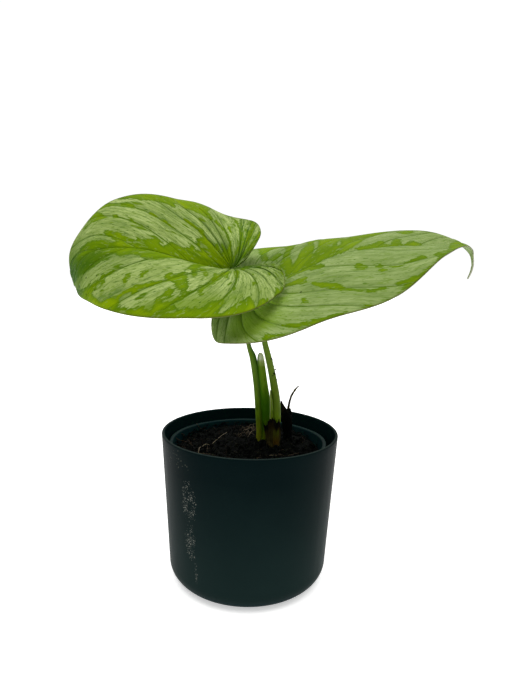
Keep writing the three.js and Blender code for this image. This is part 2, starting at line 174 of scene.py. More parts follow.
def set_shader(tree, colour, roughness, relief=None, more=None):
    """Ends a recipe. The relief is a height, how strongly it shows and how deep it is in mm."""
    inputs = {"Base Color": colour, "Roughness": roughness, **(more or {})}
    if relief:
        height, strength, depth = relief
        inputs["Normal"] = add(tree, "Bump", {"Height": height, "Strength": strength,
                                              "Distance": depth * MM})
    add(tree, "OutputMaterial", {"Surface": add(tree, "BsdfPrincipled", inputs)})


def new_piece(name, bm, *finishes, node=None, slot=None):
    """Makes a smooth-shaded object of a finished bmesh, riding on the plant's one body."""
    mesh = bpy.data.meshes.new(name)
    bm.to_mesh(mesh)
    bm.free()
    mesh.shade_smooth()
    piece = bpy.data.objects.new(name, mesh)
    bpy.context.scene.collection.objects.link(piece)
    for finish in finishes:
        mesh.materials.append(finish)
    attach(piece, "root")
    if node:
        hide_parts(node)
    print(name, "faces:", len(mesh.polygons))
    return piece


# %% Floor finish
floor_finish, tree = new_finish("lit_white_acrylic")
grain = add(tree, "TexNoise", {"Scale": 40.0, "Detail": 4.0})
rough = add(tree, "MapRange", {"Value": grain, "To Min": 0.85, "To Max": 0.95})
glow = {"Emission Color": tint("#ffffff"), "Emission Strength": 0.5}
set_shader(tree, tint("#f7f7f6"), rough, more=glow)
floor.data.materials.append(floor_finish)

# %% [markdown]
# ## Outer pot
# The outer pot is injection-moulded polypropylene: dark green-black, satin, with a straight wall that
# widens a little to the rim and a rounded foot. A lathe gives such a form, so its section is drawn as
# a chain of points and spun round the axis. The wall goes up outside, over the lip and down inside.

# %% Pot section helpers
OUTER_POT = {"height": 119.3, "rim": 70, "toe": 63.6, "round": 14.6, "wall": 2.4}
SPIN_STEPS = 160


def arc(cx, cz, radius, start, end, steps):
    """Points of an arc in the section plane, as (distance from the axis, height)."""
    turns = [math.radians(start + (end - start) * k / steps) for k in range(steps + 1)]
    return [(cx + radius * math.cos(t), cz + radius * math.sin(t)) for t in turns]


def line_up(start, end, steps):
    """Points along a straight wall, without its first point."""
    shares = [k / steps for k in range(1, steps + 1)]
    return [(start[0] + (end[0] - start[0]) * s, start[1] + (end[1] - start[1]) * s) for s in shares]


def spun(profile, centre=(0, 0), steps=SPIN_STEPS):
    """A closed turned form: the section, given in mm from its axis, spun full circle."""
    bm = bmesh.new()
    chain = [bm.verts.new(((centre[0] + r) * MM, centre[1] * MM, z * MM)) for r, z in profile]
    edges = [bm.edges.new(pair) for pair in zip(chain, chain[1:])]
    axis = Vector((centre[0] * MM, centre[1] * MM, 0))
    bmesh.ops.spin(bm, geom=chain + edges, cent=axis, axis=(0, 0, 1), angle=2 * math.pi,
                   steps=steps, use_merge=True)
    bmesh.ops.remove_doubles(bm, verts=bm.verts, dist=1e-6)
    bmesh.ops.recalc_face_normals(bm, faces=bm.faces)
    return bm


# %% Outer pot form
foot = arc(OUTER_POT["toe"] - OUTER_POT["round"], OUTER_POT["round"], OUTER_POT["round"], -90, 0, 14)
lip_radius = OUTER_POT["wall"] / 2
lip = arc(OUTER_POT["rim"] - lip_radius, OUTER_POT["height"] - lip_radius, lip_radius, 0, 180, 10)
inside_foot = arc(OUTER_POT["toe"] - OUTER_POT["round"], OUTER_POT["round"],
                  OUTER_POT["round"] - OUTER_POT["wall"], 0, -90, 8)
pot_profile = (
    [(0, 0.6), (40, 0.6), (44, 0), *foot]
    + line_up(foot[-1], lip[0], 16)
    + lip[1:]
    + line_up(lip[-1], inside_foot[0], 10)
    + inside_foot[1:]
    + [(0, OUTER_POT["wall"])]
)
outer_pot_form = spun(pot_profile)

# %% [markdown]
# Satin polypropylene scatters a little light under its skin and carries a faint vertical drag from
# the mould. This pot has been used: on its left it carries a dried splash of lime and soil, in
# crusty grains, and a finer spatter under the rim. Both are masks of noise in the pot's own
# coordinates, held to their place by the angle round the pot and the height.

# %% Outer pot finish
pot_finish, tree = new_finish("satin_polypropylene_dark_green")
place = add(tree, "TexCoord").outputs["Object"]
xyz = add(tree, "SeparateXYZ", {0: place})
back = add(tree, "Math", {0: xyz.outputs["Y"], 1: -1.0}, operation="MULTIPLY")
turn = add(tree, "Math", {0: xyz.outputs["X"], 1: back}, operation="ARCTAN2")


def patch_on_wall(tree, turn, height, azimuth, half_turn, low, high):
    """1 in the middle of a patch of the wall, given in degrees and mm, falling to 0 at its edge."""
    away = add(tree, "Math", {0: turn, 1: math.radians(azimuth)}, operation="SUBTRACT")
    side = add(tree, "Math", {0: away, 1: math.radians(half_turn)}, operation="DIVIDE")
    up = add(tree, "MapRange", {"Value": height, "From Min": low * MM, "From Max": high * MM,
                                "To Min": -1.0, "To Max": 1.0}, clamp=False)
    square = add(tree, "Math", {0: side, 1: 2.0}, operation="POWER")
    square_up = add(tree, "Math", {0: up, 1: 2.0}, operation="POWER")
    both = add(tree, "Math", {0: square, 1: square_up}, operation="ADD")
    return add(tree, "Math", {0: 1.0, 1: both}, operation="SUBTRACT")


# Each zone is its direction and half its width in degrees, and the heights in mm that it lies between.
splash_zones = [(-38.5, 7, 61, 98), (-38.5, 5.5, 32, 67), (-34, 1.6, 14, 38), (-51, 15, 99, 119)]
zones = [patch_on_wall(tree, turn, xyz.outputs["Z"], *zone) for zone in splash_zones]
clumps = add(tree, "TexNoise", {"Vector": place, "Scale": 150.0, "Detail": 3.0})


def grains(tree, place, across, zone, amount, clumps):
    """Round grains of a splash: so many mm from one to the next, denser in the middle of their zone."""
    cells = add(tree, "TexVoronoi", {"Vector": place, "Scale": 1 / (across * MM)})
    chance = add(tree, "SeparateXYZ", {0: cells.outputs["Color"]})
    held = add(tree, "Math", {0: zone, 1: 0.0}, operation="MAXIMUM")
    thick = add(tree, "MapRange", {"Value": clumps, "From Min": 0.38, "From Max": 0.66, "To Min": 0.1})
    dense = add(tree, "Math", {0: held, 1: thick}, operation="MULTIPLY")
    dense = add(tree, "Math", {0: dense, 1: amount}, operation="MULTIPLY")
    there = add(tree, "Math", {0: dense, 1: chance.outputs["X"]}, operation="GREATER_THAN")
    size = add(tree, "MapRange", {"Value": chance.outputs["Y"], "To Min": 0.2, "To Max": 0.5})
    within = add(tree, "Math", {0: size, 1: cells.outputs["Distance"]}, operation="GREATER_THAN")
    return add(tree, "Math", {0: there, 1: within}, operation="MULTIPLY")


main_zone = add(tree, "Math", {0: zones[0], 1: zones[1]}, operation="MAXIMUM")
main_zone = add(tree, "Math", {0: main_zone, 1: zones[2]}, operation="MAXIMUM")
coarse_grains, fine_grains = (grains(tree, place, across, main_zone, amount, clumps)
                              for across, amount in ((1.1, 0.7), (0.6, 0.8)))
crust = add(tree, "Math", {0: coarse_grains, 1: fine_grains}, operation="MAXIMUM")
spatter = grains(tree, place, 1.2, zones[3], 0.6, clumps)
dirt = add(tree, "Math", {0: crust, 1: spatter}, operation="MAXIMUM")

drag_place = add(tree, "Mapping", {"Vector": place, "Scale": (260, 260, 6)})
drag = add(tree, "TexNoise", {"Vector": drag_place, "Scale": 1.0, "Detail": 3.0})
cloud = add(tree, "TexNoise", {"Vector": place, "Scale": 22.0, "Detail": 5.0})
# Dust lies in clouds all over the pot, and the wall is painted lighter towards the foot: painted light from
# the white floor.
painted_floor_light = add(tree, "MapRange", {"Value": xyz.outputs["Z"], "From Min": 12 * MM, "From Max": 100 * MM,
                                 "To Min": 0.85, "To Max": 0.0})
dust_and_floor_light = add(tree, "Math", {0: cloud, 1: 0.35, 2: painted_floor_light}, operation="MULTIPLY_ADD")
# Painted light: the inside of the wall gets a lighter teal, to lift the shade that falls inside the pot.
across_axis = add(tree, "VectorMath", {0: place, 1: (1, 1, 0)}, operation="MULTIPLY")
from_axis = add(tree, "VectorMath", {0: across_axis}, operation="LENGTH").outputs["Value"]
# Half-way through the wall is 61.5 mm from the axis at the foot, and goes out 61.1 mm for each metre up.
mid_wall = add(tree, "Math", {0: xyz.outputs["Z"], 1: 0.0611, 2: 61.5 * MM}, operation="MULTIPLY_ADD")
inside = add(tree, "Math", {0: mid_wall, 1: from_axis}, operation="GREATER_THAN")
# Painted highlight: a paler line along the top of the lip, where its rounding catches the light from above.
painted_lip_highlight = add(tree, "MapRange", {"Value": xyz.outputs["Z"], "From Min": (OUTER_POT["height"] - 0.5) * MM,
                                "From Max": (OUTER_POT["height"] - 0.2) * MM, "To Max": 0.8})
body = tint("#000b0d")
for share, tone in ((dust_and_floor_light, "#142322"), (inside, "#061e20"), (painted_lip_highlight, "#2c3836")):
    body = add(tree, "Mix", {0: share, 6: body, 7: tint(tone)}, data_type="RGBA")
grain_tone = add(tree, "MapRange", {"Value": clumps, "From Min": 0.35, "From Max": 0.7})
dirt_tone = add(tree, "Mix", {0: grain_tone, 6: tint("#3a403e"), 7: tint("#6e7069")}, data_type="RGBA")
dirt_tone = add(tree, "Mix", {0: spatter, 6: dirt_tone, 7: tint("#3f423c")}, data_type="RGBA")
skin = add(tree, "Mix", {0: dirt, 6: body, 7: dirt_tone}, data_type="RGBA")
satin = add(tree, "MapRange", {"Value": drag, "To Min": 0.36, "To Max": 0.5})
dull = add(tree, "Mix", {0: dirt, 2: satin, 3: 0.9}, data_type="FLOAT")
pebble = add(tree, "TexNoise", {"Vector": place, "Scale": 1500.0, "Detail": 2.0})
relief = add(tree, "Math", {0: dirt, 1: 3.0, 2: pebble}, operation="MULTIPLY_ADD")
set_shader(tree, skin, dull, (relief, 0.25, 0.2), {"IOR": 1.49, "Specular IOR Level": 0.015})
new_piece("pot_outer", outer_pot_form, pot_finish, node="outer_pot", slot="outer_pot")

# %% [markdown]
# ## Inner pot
# The grower's pot inside is thin-walled and a little out of round. Its wall is spun as well, and
# then its rim is pushed in and out by a slow wave, less than a millimetre, as a soft pot sits.

# %% Inner pot
INNER_POT = {"floor": 2.7, "top": 110, "rim": 63, "upper": 61, "base": 46.5, "wall": 1.0, "lip": 5}
INNER_CENTRE = (-2, 1)


def inner_radius(z):
    """Outside radius of the grower's pot at a height in mm."""
    share = (z - INNER_POT["floor"]) / (INNER_POT["top"] - INNER_POT["floor"] - INNER_POT["lip"])
    return INNER_POT["base"] + (INNER_POT["upper"] - INNER_POT["base"]) * share


bottom, top, rim, upper, base, thick = (
    INNER_POT[part] for part in ("floor", "top", "rim", "upper", "base", "wall"))
lip_from, inside_floor = top - INNER_POT["lip"], bottom + thick
inner_profile = [(0, bottom), (base, bottom), *line_up((base, bottom), (upper, lip_from), 8),
                 (rim - 0.2, top - 4.2), (rim, top - 3.6), *arc(rim - 0.6, top - 0.6, 0.6, 0, 90, 5),
                 (upper - 0.2, top), (upper - 0.8, top - 0.4), (upper - thick, top - 1.2),
                 *line_up((upper - thick, lip_from), (inner_radius(inside_floor) - thick, inside_floor), 8),
                 (0, inside_floor)]
inner_form = spun(inner_profile, INNER_CENTRE, 144)
WAVE_FROM = 80  # the height in mm where the wave begins
for v in inner_form.verts:
    height = v.co.z / MM
    if v.co.z > WAVE_FROM * MM:
        out = Vector((v.co.x - INNER_CENTRE[0] * MM, v.co.y - INNER_CENTRE[1] * MM, 0))
        angle = math.atan2(out.y, out.x)
        wave = 0.35 * math.sin(3 * angle + 1.2) + 0.2 * math.sin(7 * angle)
        v.co += out.normalized() * wave * MM * (height - WAVE_FROM) / (top - WAVE_FROM)
        v.co.z += 0.25 * MM * math.sin(5 * angle + 0.6) * (height > lip_from)

inner_finish, tree = new_finish("thin_polypropylene_green")
place = add(tree, "TexCoord").outputs["Object"]
cloud = add(tree, "TexNoise", {"Vector": place, "Scale": 60.0, "Detail": 5.0})
dusting = add(tree, "MapRange", {"Value": cloud, "From Min": 0.5, "From Max": 0.8, "To Max": 0.7})
xyz = add(tree, "SeparateXYZ", {0: place})
# The top of the rim is paler.
paler_rim_top = add(tree, "MapRange", {"Value": xyz.outputs["Z"], "From Min": (top - 0.6) * MM,
                              "From Max": (top - 0.2) * MM, "To Max": 0.8})
body = tint("#06262b")
for share, tone in ((dusting, "#1c3232"), (paler_rim_top, "#243433")):
    body = add(tree, "Mix", {0: share, 6: body, 7: tint(tone)}, data_type="RGBA")
satin = add(tree, "MapRange", {"Value": cloud, "To Min": 0.35, "To Max": 0.6})
fine = add(tree, "TexNoise", {"Vector": place, "Scale": 900.0, "Detail": 2.0})
set_shader(tree, body, satin, (fine, 0.2, 0.2), {"IOR": 1.49, "Specular IOR Level": 0.04})
new_piece("pot_inner", inner_form, inner_finish, node="inner_pot", slot="inner_pot")

# %% [markdown]
# ## Soil
# The soil is dark coarse peat with coir: crumbs of all sizes, short fibres and a few pale roots. The
# surface is a disc of rings, lifted to the low mound round the stems and roughened by noise. Real
# crumbs then lie on it, each a ball of twenty faces squashed at random, because relief painted in a
# shader has no shadows of its own when it is seen from the side.

# %% Soil surface
SOIL = {"bottom": 4.2, "level": 99, "mound": 5.5, "x": 14, "y": 11, "spread": 24,
        "rise": 5, "rise_from": -10, "rise_over": 68, "rings": 84}


def soil_height(x, y):
    """Height of the soil in mm at a place in mm, before its roughness."""
    away = ((x - SOIL["x"]) ** 2 + (y - SOIL["y"]) ** 2) / (2 * SOIL["spread"] ** 2)
    lumps = (0.8 * math.sin(0.31 * x + 1.3) * math.cos(0.27 * y - 0.4)
             + 0.6 * math.sin(0.62 * x - 0.47 * y) + 0.5 * math.cos(0.41 * x + 0.73 * y + 0.8))
    back = min(max((y - SOIL["rise_from"]) / SOIL["rise_over"], 0), 1)
    rise = SOIL["rise"] * back * back * (3 - 2 * back)
    return SOIL["level"] + SOIL["mound"] * math.exp(-away) + rise + lumps


def rough_soil(x, y):
    """Height of the soil in mm with its clods and grain."""
    clods = noise.fractal(Vector((x, y, 3)) * 0.16, 1.0, 2.0, 3)
    grain = noise.noise(Vector((x, y, 9)) * 0.75)
    return soil_height(x, y) + 1.3 * clods + 0.55 * grain


soil_edge = inner_radius(SOIL["level"] - 2) - INNER_POT["wall"] - 0.3
rings = [soil_edge * (1 - (k / SOIL["rings"]) ** 1.02) for k in range(SOIL["rings"])] + [0]
soil_profile = [(0, SOIL["bottom"]), (inner_radius(SOIL["bottom"]) - 1.4, SOIL["bottom"])]
soil_form = spun(soil_profile + [(r, SOIL["level"]) for r in rings], INNER_CENTRE, 176)
for v in soil_form.verts:
    if v.co.z > (SOIL["bottom"] + 1) * MM:
        v.co.z = rough_soil(v.co.x / MM, v.co.y / MM) * MM

# %% [markdown]
# Peat looks nearly black when damp, red-brown where a crumb has dried, and straw-coloured where a
# fibre shows. Each crumb gets its own tone from a value stored on its faces.

# %% Soil finish
soil_finish, tree = new_finish("damp_coarse_peat")
place = add(tree, "TexCoord").outputs["Object"]
tone = add(tree, "Attribute", attribute_name="tone").outputs["Fac"]
grain = add(tree, "TexNoise", {"Vector": place, "Scale": 420.0, "Detail": 6.0, "Roughness": 0.75})
mixed = add(tree, "Math", {0: tone, 1: grain}, operation="ADD")
ramp = set_stops(add(tree, "ValToRGB", {0: mixed}),
                 [(0.4, "#020404"), (0.56, "#060807"), (0.7, "#11120f"), (0.92, "#2c2721")])
damp = add(tree, "MapRange", {"Value": grain, "To Min": 0.75, "To Max": 1.0})
set_shader(tree, ramp, damp, (grain, 0.7, 0.8), {"Specular IOR Level": 0.08})
new_piece("soil_surface", soil_form, soil_finish, node="soil", slot="soil")

# %% Crumbs
rng = random.Random(11)
HEAPS, CRUMBS_IN_HEAP = 68, 50
# The stems' feet, as x and y and the room to keep round them, in mm.
STEM_FEET = [(8, 18, 4), (18.5, 7, 4.5), (11.7, 15.5, 4), (31, 20, 4)]


def on_soil():
    """A random place on the soil in mm, clear of the stems' feet."""
    while True:
        r = soil_edge * math.sqrt(rng.random()) * 0.985
        t = rng.uniform(0, 2 * math.pi)
        x, y = INNER_CENTRE[0] + r * math.cos(t), INNER_CENTRE[1] + r * math.sin(t)
        if all(math.hypot(x - sx, y - sy) > keep for sx, sy, keep in STEM_FEET):
            return x, y


def on_wall():
    """A random place where peat clings to the wall of the grower's pot, mostly low at the back left."""
    angle = math.radians(rng.gauss(130, 45))
    r = soil_edge + 0.4
    x, y = INNER_CENTRE[0] + r * math.cos(angle), INNER_CENTRE[1] + r * math.sin(angle)
    return x, y, min(rough_soil(x, y) + abs(rng.gauss(0, 2.2)), INNER_POT["top"] - 2)


def crumb(bm, tones):
    """One squashed and dented ball of peat on the soil or on the wall, with its own tone."""
    x, y = on_soil()
    size = rng.uniform(0.35, 0.9) if rng.random() < 0.8 else rng.uniform(0.9, 2.3)
    z = rough_soil(x, y) + size * 0.2
    if rng.random() < 0.1:
        x, y, z = on_wall()
        size = rng.uniform(0.3, 0.9)
    spread = Matrix.Diagonal((rng.uniform(0.7, 1.4), rng.uniform(0.6, 1.1), rng.uniform(0.45, 0.9), 1))
    turned = Euler([rng.uniform(0, 6.3) for _ in range(3)]).to_matrix().to_4x4()
    ball = Matrix.Translation(Vector((x, y, z)) * MM) @ turned @ spread
    made = bmesh.ops.create_icosphere(bm, subdivisions=1, radius=size * MM, matrix=ball)
    shade = rng.choice([-0.16, -0.12, -0.08, -0.04, 0, 0.04, 0.1, 0.26])
    for v in made["verts"]:
        v.co += Vector([rng.uniform(-0.12, 0.12) * size * MM for _ in range(3)])
        for face in v.link_faces:
            face[tones] = shade


# Adding to a small mesh is quick and to a large one slow, so crumbs are made in heaps that are joined.
crumbs = bmesh.new()
crumbs.faces.layers.float.new("tone")
heap_mesh = bpy.data.meshes.new("heap")
for _ in range(HEAPS):
    heap = bmesh.new()
    tones = heap.faces.layers.float.new("tone")
    for _ in range(CRUMBS_IN_HEAP):
        crumb(heap, tones)
    heap.to_mesh(heap_mesh)
    heap.free()
    crumbs.from_mesh(heap_mesh)
soil_crumbs = new_piece("soil_crumbs", crumbs, soil_finish, slot="soil")
soil_crumbs.data.shade_flat()

# %% [markdown]
# ## Stems
# Leaf stalks, the new shoot and the sheaths are all long soft-edged stems. Each is a ring of points
# that is extruded from station to station along the stem, where the ring takes the width and the
# section of that place. The section may have a groove down one side, as a stalk has on its face.

# %% Stem helpers


def row_at(rows, t):
    """Every column of the rows at a place between them, on a smooth curve through them."""
    last = len(rows) - 1
    i = min(max(int(t), 0), last - 1)
    u = t - i
    out = []
    for c in range(len(rows[0])):
        p1, p2 = rows[i][c], rows[i + 1][c]
        p0 = rows[i - 1][c] if i > 0 else 2 * p1 - p2
        p3 = rows[i + 2][c] if i + 2 <= last else 2 * p2 - p1
        out.append(0.5 * (2 * p1 + (p2 - p0) * u + (2 * p0 - 5 * p1 + 4 * p2 - p3) * u * u
                          + (3 * p1 - p0 - 3 * p2 + p3) * u ** 3))
    return out


def stem(rows, sides=28, steps=8, groove=None, lumps=0.0, seed=0, into=None):
    """A stem along rows of x, y, z, radius across and radius front to back, in mm.

    The groove is its direction round the stem in degrees, its width in degrees and its depth share.
    """
    bm = into or bmesh.new()
    turn = bm.verts.layers.float.get("turn") or bm.verts.layers.float.new("turn")
    ring = bmesh.ops.create_circle(bm, cap_ends=True, cap_tris=True, segments=sides, radius=1)["verts"]
    ring = [v for v in ring if v.co.length > 0.5]
    hub = [v for v in bm.verts if v.co.length < 1e-9]
    for v in ring:
        v[turn] = math.atan2(v.co.y, v.co.x)
    count = (len(rows) - 1) * steps
    edges = [e for e in {e for v in ring for e in v.link_edges} if e.is_boundary]
    for k in range(count + 1):
        t = k / steps
        x, y, z, across, deep = row_at(rows, t)
        centre = Vector((x, y, z))
        ahead = Vector(row_at(rows, min(t + 0.1, len(rows) - 1))[:3])
        along = (ahead - Vector(row_at(rows, max(t - 0.1, 0))[:3])).normalized()
        right = Vector((0, 1, 0)).cross(along).normalized()
        deeper = along.cross(right)
        if k:
            grown = bmesh.ops.extrude_edge_only(bm, edges=edges)["geom"]
            ring = [g for g in grown if isinstance(g, bmesh.types.BMVert)]
            edges = [e for e in grown if isinstance(e, bmesh.types.BMEdge) and e.is_boundary]
        else:
            for v in hub:
                v.co = centre * MM
        for v in ring:
            angle = v[turn]
            share = 1.0
            if groove:
                off = (math.degrees(angle) - groove[0] + 180) % 360 - 180
                share -= groove[2] * math.exp(-((off / groove[1]) ** 2))
            reach = right * math.cos(angle) * across * share + deeper * math.sin(angle) * deep * share
            if lumps:
                spot = centre + reach * 1.5 + Vector((0, 0, seed * 31))
                reach *= 1 + lumps * noise.noise(spot * 0.45) + 0.6 * lumps * noise.noise(spot * 1.3)
            v.co = (centre + reach) * MM
    bmesh.ops.edgeloop_fill(bm, edges=edges)
    bmesh.ops.recalc_face_normals(bm, faces=bm.faces)
    return bm


# %% [markdown]
# A living stalk is smooth, fleshy and satin, with faint lines along it. Green deepens up the stalk
# and turns yellow-brown at the foot, where an old sheath has chafed it; the foot is also painted
# lighter, as painted light in the shade inside the pot. One side is painted too: painted shade on the
# stalks and the rib, a painted highlight on the sheath. The gradient reads the height above the soil,
# and the lines are noise drawn out along the stalk.

# %% Stalk finishes
# The tones are laid over a length of the stalk that begins at a height, and noise moves them up and
# down by the wander, all in mm.
RAMP_FROM, RAMP_OVER, WANDER = 100, 150, 12


def stalk_finish(name, tones, shade, painted_side_tone, side, lines=0.25, sheen=0.12):
    """A stalk's skin: tones up the stalk from the soil, a painted side tone down one side, lined
    lengthwise.

    The tones are heights in mm with their colours, and the side is the painted side tone's direction in
    degrees.
    """
    material, tree = new_finish(name)
    place = add(tree, "TexCoord").outputs["Object"]
    xyz = add(tree, "SeparateXYZ", {0: place})
    turn = add(tree, "Attribute", attribute_name="turn").outputs["Fac"]
    drawn = add(tree, "Mapping", {"Vector": place, "Scale": (900, 900, 18)})
    streak = add(tree, "TexNoise", {"Vector": drawn, "Scale": 1.0, "Detail": 3.0})
    mottle = add(tree, "TexNoise", {"Vector": place, "Scale": 160.0, "Detail": 4.0})
    wander = add(tree, "Math", {0: mottle, 1: WANDER * MM, 2: xyz.outputs["Z"]}, operation="MULTIPLY_ADD")
    low = RAMP_FROM + WANDER / 2
    up = add(tree, "MapRange", {"Value": wander, "From Min": low * MM, "From Max": (low + RAMP_OVER) * MM})
    tones = [((height - RAMP_FROM) / RAMP_OVER, code) for height, code in tones]
    ramp = set_stops(add(tree, "ValToRGB", {0: up}), tones)
    # Painted light down one side: a darker side tone is painted shade, a paler one a painted highlight.
    off = add(tree, "Math", {0: turn, 1: math.radians(side)}, operation="SUBTRACT")
    facing = add(tree, "Math", {0: off}, operation="COSINE")
    painted_side_share = add(tree, "MapRange", {"Value": facing, "From Min": 0.3, "From Max": 0.95})
    with_painted_side = add(tree, "Mix", {0: painted_side_share, 6: ramp, 7: tint(painted_side_tone)}, data_type="RGBA")
    lined = add(tree, "MapRange", {"Value": streak, "From Min": 0.35, "From Max": 0.75, "To Max": lines})
    colour = add(tree, "Mix", {0: lined, 6: with_painted_side, 7: tint(shade)}, data_type="RGBA")
    gloss = add(tree, "MapRange", {"Value": mottle, "To Min": 0.35, "To Max": 0.5})
    set_shader(tree, colour, gloss, (streak, 0.25, 0.3), {
        "IOR": 1.42, "Specular IOR Level": sheen, "Subsurface Weight": 0.1,
        "Subsurface Radius": (0.6, 0.9, 0.2), "Subsurface Scale": 1.5 * MM})
    return material


# The lowest tones are lighter than the foot's own yellow-brown: painted light in the shade inside the pot.
front_stalk_finish = stalk_finish(
    "stalk_skin_deep_green",
    [(106, "#8f9020"), (116, "#87961a"), (126, "#6c8c10"), (136, "#5c7c0e"), (178, "#527010"),
     (196, "#5c6a2c")], shade="#3c5a06", painted_side_tone="#335a00", side=-25)
back_stalk_finish = stalk_finish(
    "stalk_skin_olive_green",
    [(106, "#9c6f1c"), (114, "#8a8818"), (126, "#71900a"), (136, "#5d770a"), (152, "#566c0a"),
     (185, "#5c7420")], shade="#46600a", painted_side_tone="#4c660a", side=200)
shoot_finish = stalk_finish(
    "shoot_skin_bright_green",
    [(106, "#8c9618"), (118, "#60880a"), (128, "#447604"), (138, "#3c6c02"), (152, "#587a0c"),
     (168, "#648016"), (173, "#8c9c54"), (176, "#c6ccac")],
    shade="#3a6604", painted_side_tone="#2f5c00", side=185, sheen=0.05)
sheath_finish = stalk_finish(
    "sheath_edge_green_painted_highlight",
    [(106, "#6a6a14"), (122, "#758610"), (134, "#5f7a0c"), (146, "#6f8430"), (150, "#8a9c5c")],
    shade="#52700c", painted_side_tone="#9aa868", side=180)

# %% Stalks and shoot
# Rows of x, y, z, radius across and radius front to back, in mm.
FRONT_STALK = [
    [8.6, 16, 96, 3.3, 3.2], [8.2, 16, 105, 3.5, 3.4], [8.2, 15.5, 113, 3.5, 3.4],
    [7.6, 15.5, 123.2, 3.5, 3.3], [6.1, 14.8, 140.2, 3.45, 3.2], [4.8, 14, 152.8, 3.35, 3],
    [2.9, 13, 165.3, 3.2, 2.8], [0.5, 11.6, 176.8, 2.9, 2.5], [-2.7, 8, 186, 2, 1.9],
    [-7.5, 5.2, 209, 1.7, 1.7], [-12.2, 5.2, 227, 1.7, 1.7], [-15.6, 4.7, 237, 1.8, 1.8],
    [-17.5, 2.6, 243.8, 2, 2],
]
BACK_STALK = [
    [18.4, 8, 97, 3.1, 3.1], [18.4, 6, 104, 3.2, 3.2], [19.4, 6, 117, 4.1, 3.8],
    [20.2, 6, 126, 4.2, 3.8], [20.2, 6, 138, 3.8, 3.5], [19.4, 6, 147, 3.5, 3.2],
    [17.3, 5, 159, 3.1, 3], [13.9, 4, 174, 2.8, 2.7], [9.4, 3, 191, 2.4, 2.4],
    [5.2, 1.6, 211, 2.1, 2.1], [3.2, 2, 225, 2.1, 2.1], [2.2, 1.6, 232.6, 2.2, 2.2],
]
NEW_SHOOT = [
    [12, 15.5, 97, 3.8, 3.3], [12.6, 14.8, 109, 4.1, 3.4], [12.9, 14, 124, 4.1, 3.3],
    [11.5, 13.4, 141, 4, 3.2], [9.8, 12.6, 153, 3.6, 3], [8.1, 11.5, 166, 3.2, 2.7],
    [7.1, 10.5, 174, 2.9, 2.3], [6.7, 10, 178.2, 2.3, 1.7], [6.5, 9.8, 180.3, 1, 0.7],
]
BACK_SHEATH = [
    [17.6, 5, 106, 1.2, 1.4], [17.4, 4.6, 118, 1.3, 1.5], [17, 3.4, 127, 1.5, 2.1],
    [16.5, 3, 139, 1.3, 2.2], [15.8, 3.1, 146, 0.8, 1.6], [15.2, 3.4, 151, 0.4, 0.5],
]
for name, rows, groove, sides, finish, node, slot in [
    ("stalk_front", FRONT_STALK, (-10, 30, 0.12), 28, front_stalk_finish, "leaf_front_petiole", "petiole"),
    ("stalk_back", BACK_STALK, (200, 30, 0.12), 28, back_stalk_finish, "leaf_back_petiole", "petiole"),
    ("shoot", NEW_SHOOT, (-50, 10, 0.1), 28, shoot_finish, "new_shoot", "shoot"),
    ("sheath_back", BACK_SHEATH, None, 20, sheath_finish, "back_sheath", "sheath"),
]:
    new_piece(name, stem(rows, sides, groove=groove), finish, node=node, slot=slot)

# %% [markdown]
# ## Roots and fibres
# Coir fibres and fine roots lie on the soil and curl above it: one long pale strand at the left, a
# tangle behind the stalks, and many short ones all over. Each is a thin stem of five sides along a
# few points, so it lies and curls in the round and casts its own shadow.

# %% Roots and fibres
root_finish, tree = new_finish("dry_root_fibre")
place = add(tree, "TexCoord").outputs["Object"]
tone = add(tree, "Attribute", attribute_name="tone").outputs["Fac"]
mottle = add(tree, "TexNoise", {"Vector": place, "Scale": 500.0, "Detail": 3.0})
mixed = add(tree, "Math", {0: mottle, 1: 0.5, 2: tone}, operation="MULTIPLY_ADD")
ramp = set_stops(add(tree, "ValToRGB", {0: mixed}),
                 [(0.1, "#0d0a07"), (0.4, "#2a1c12"), (0.7, "#544434"), (1.0, "#8d7f6c")])
husk = add(tree, "MapRange", {"Value": mottle, "To Min": 0.6, "To Max": 0.9})
set_shader(tree, ramp, husk, more={"Specular IOR Level": 0.15})

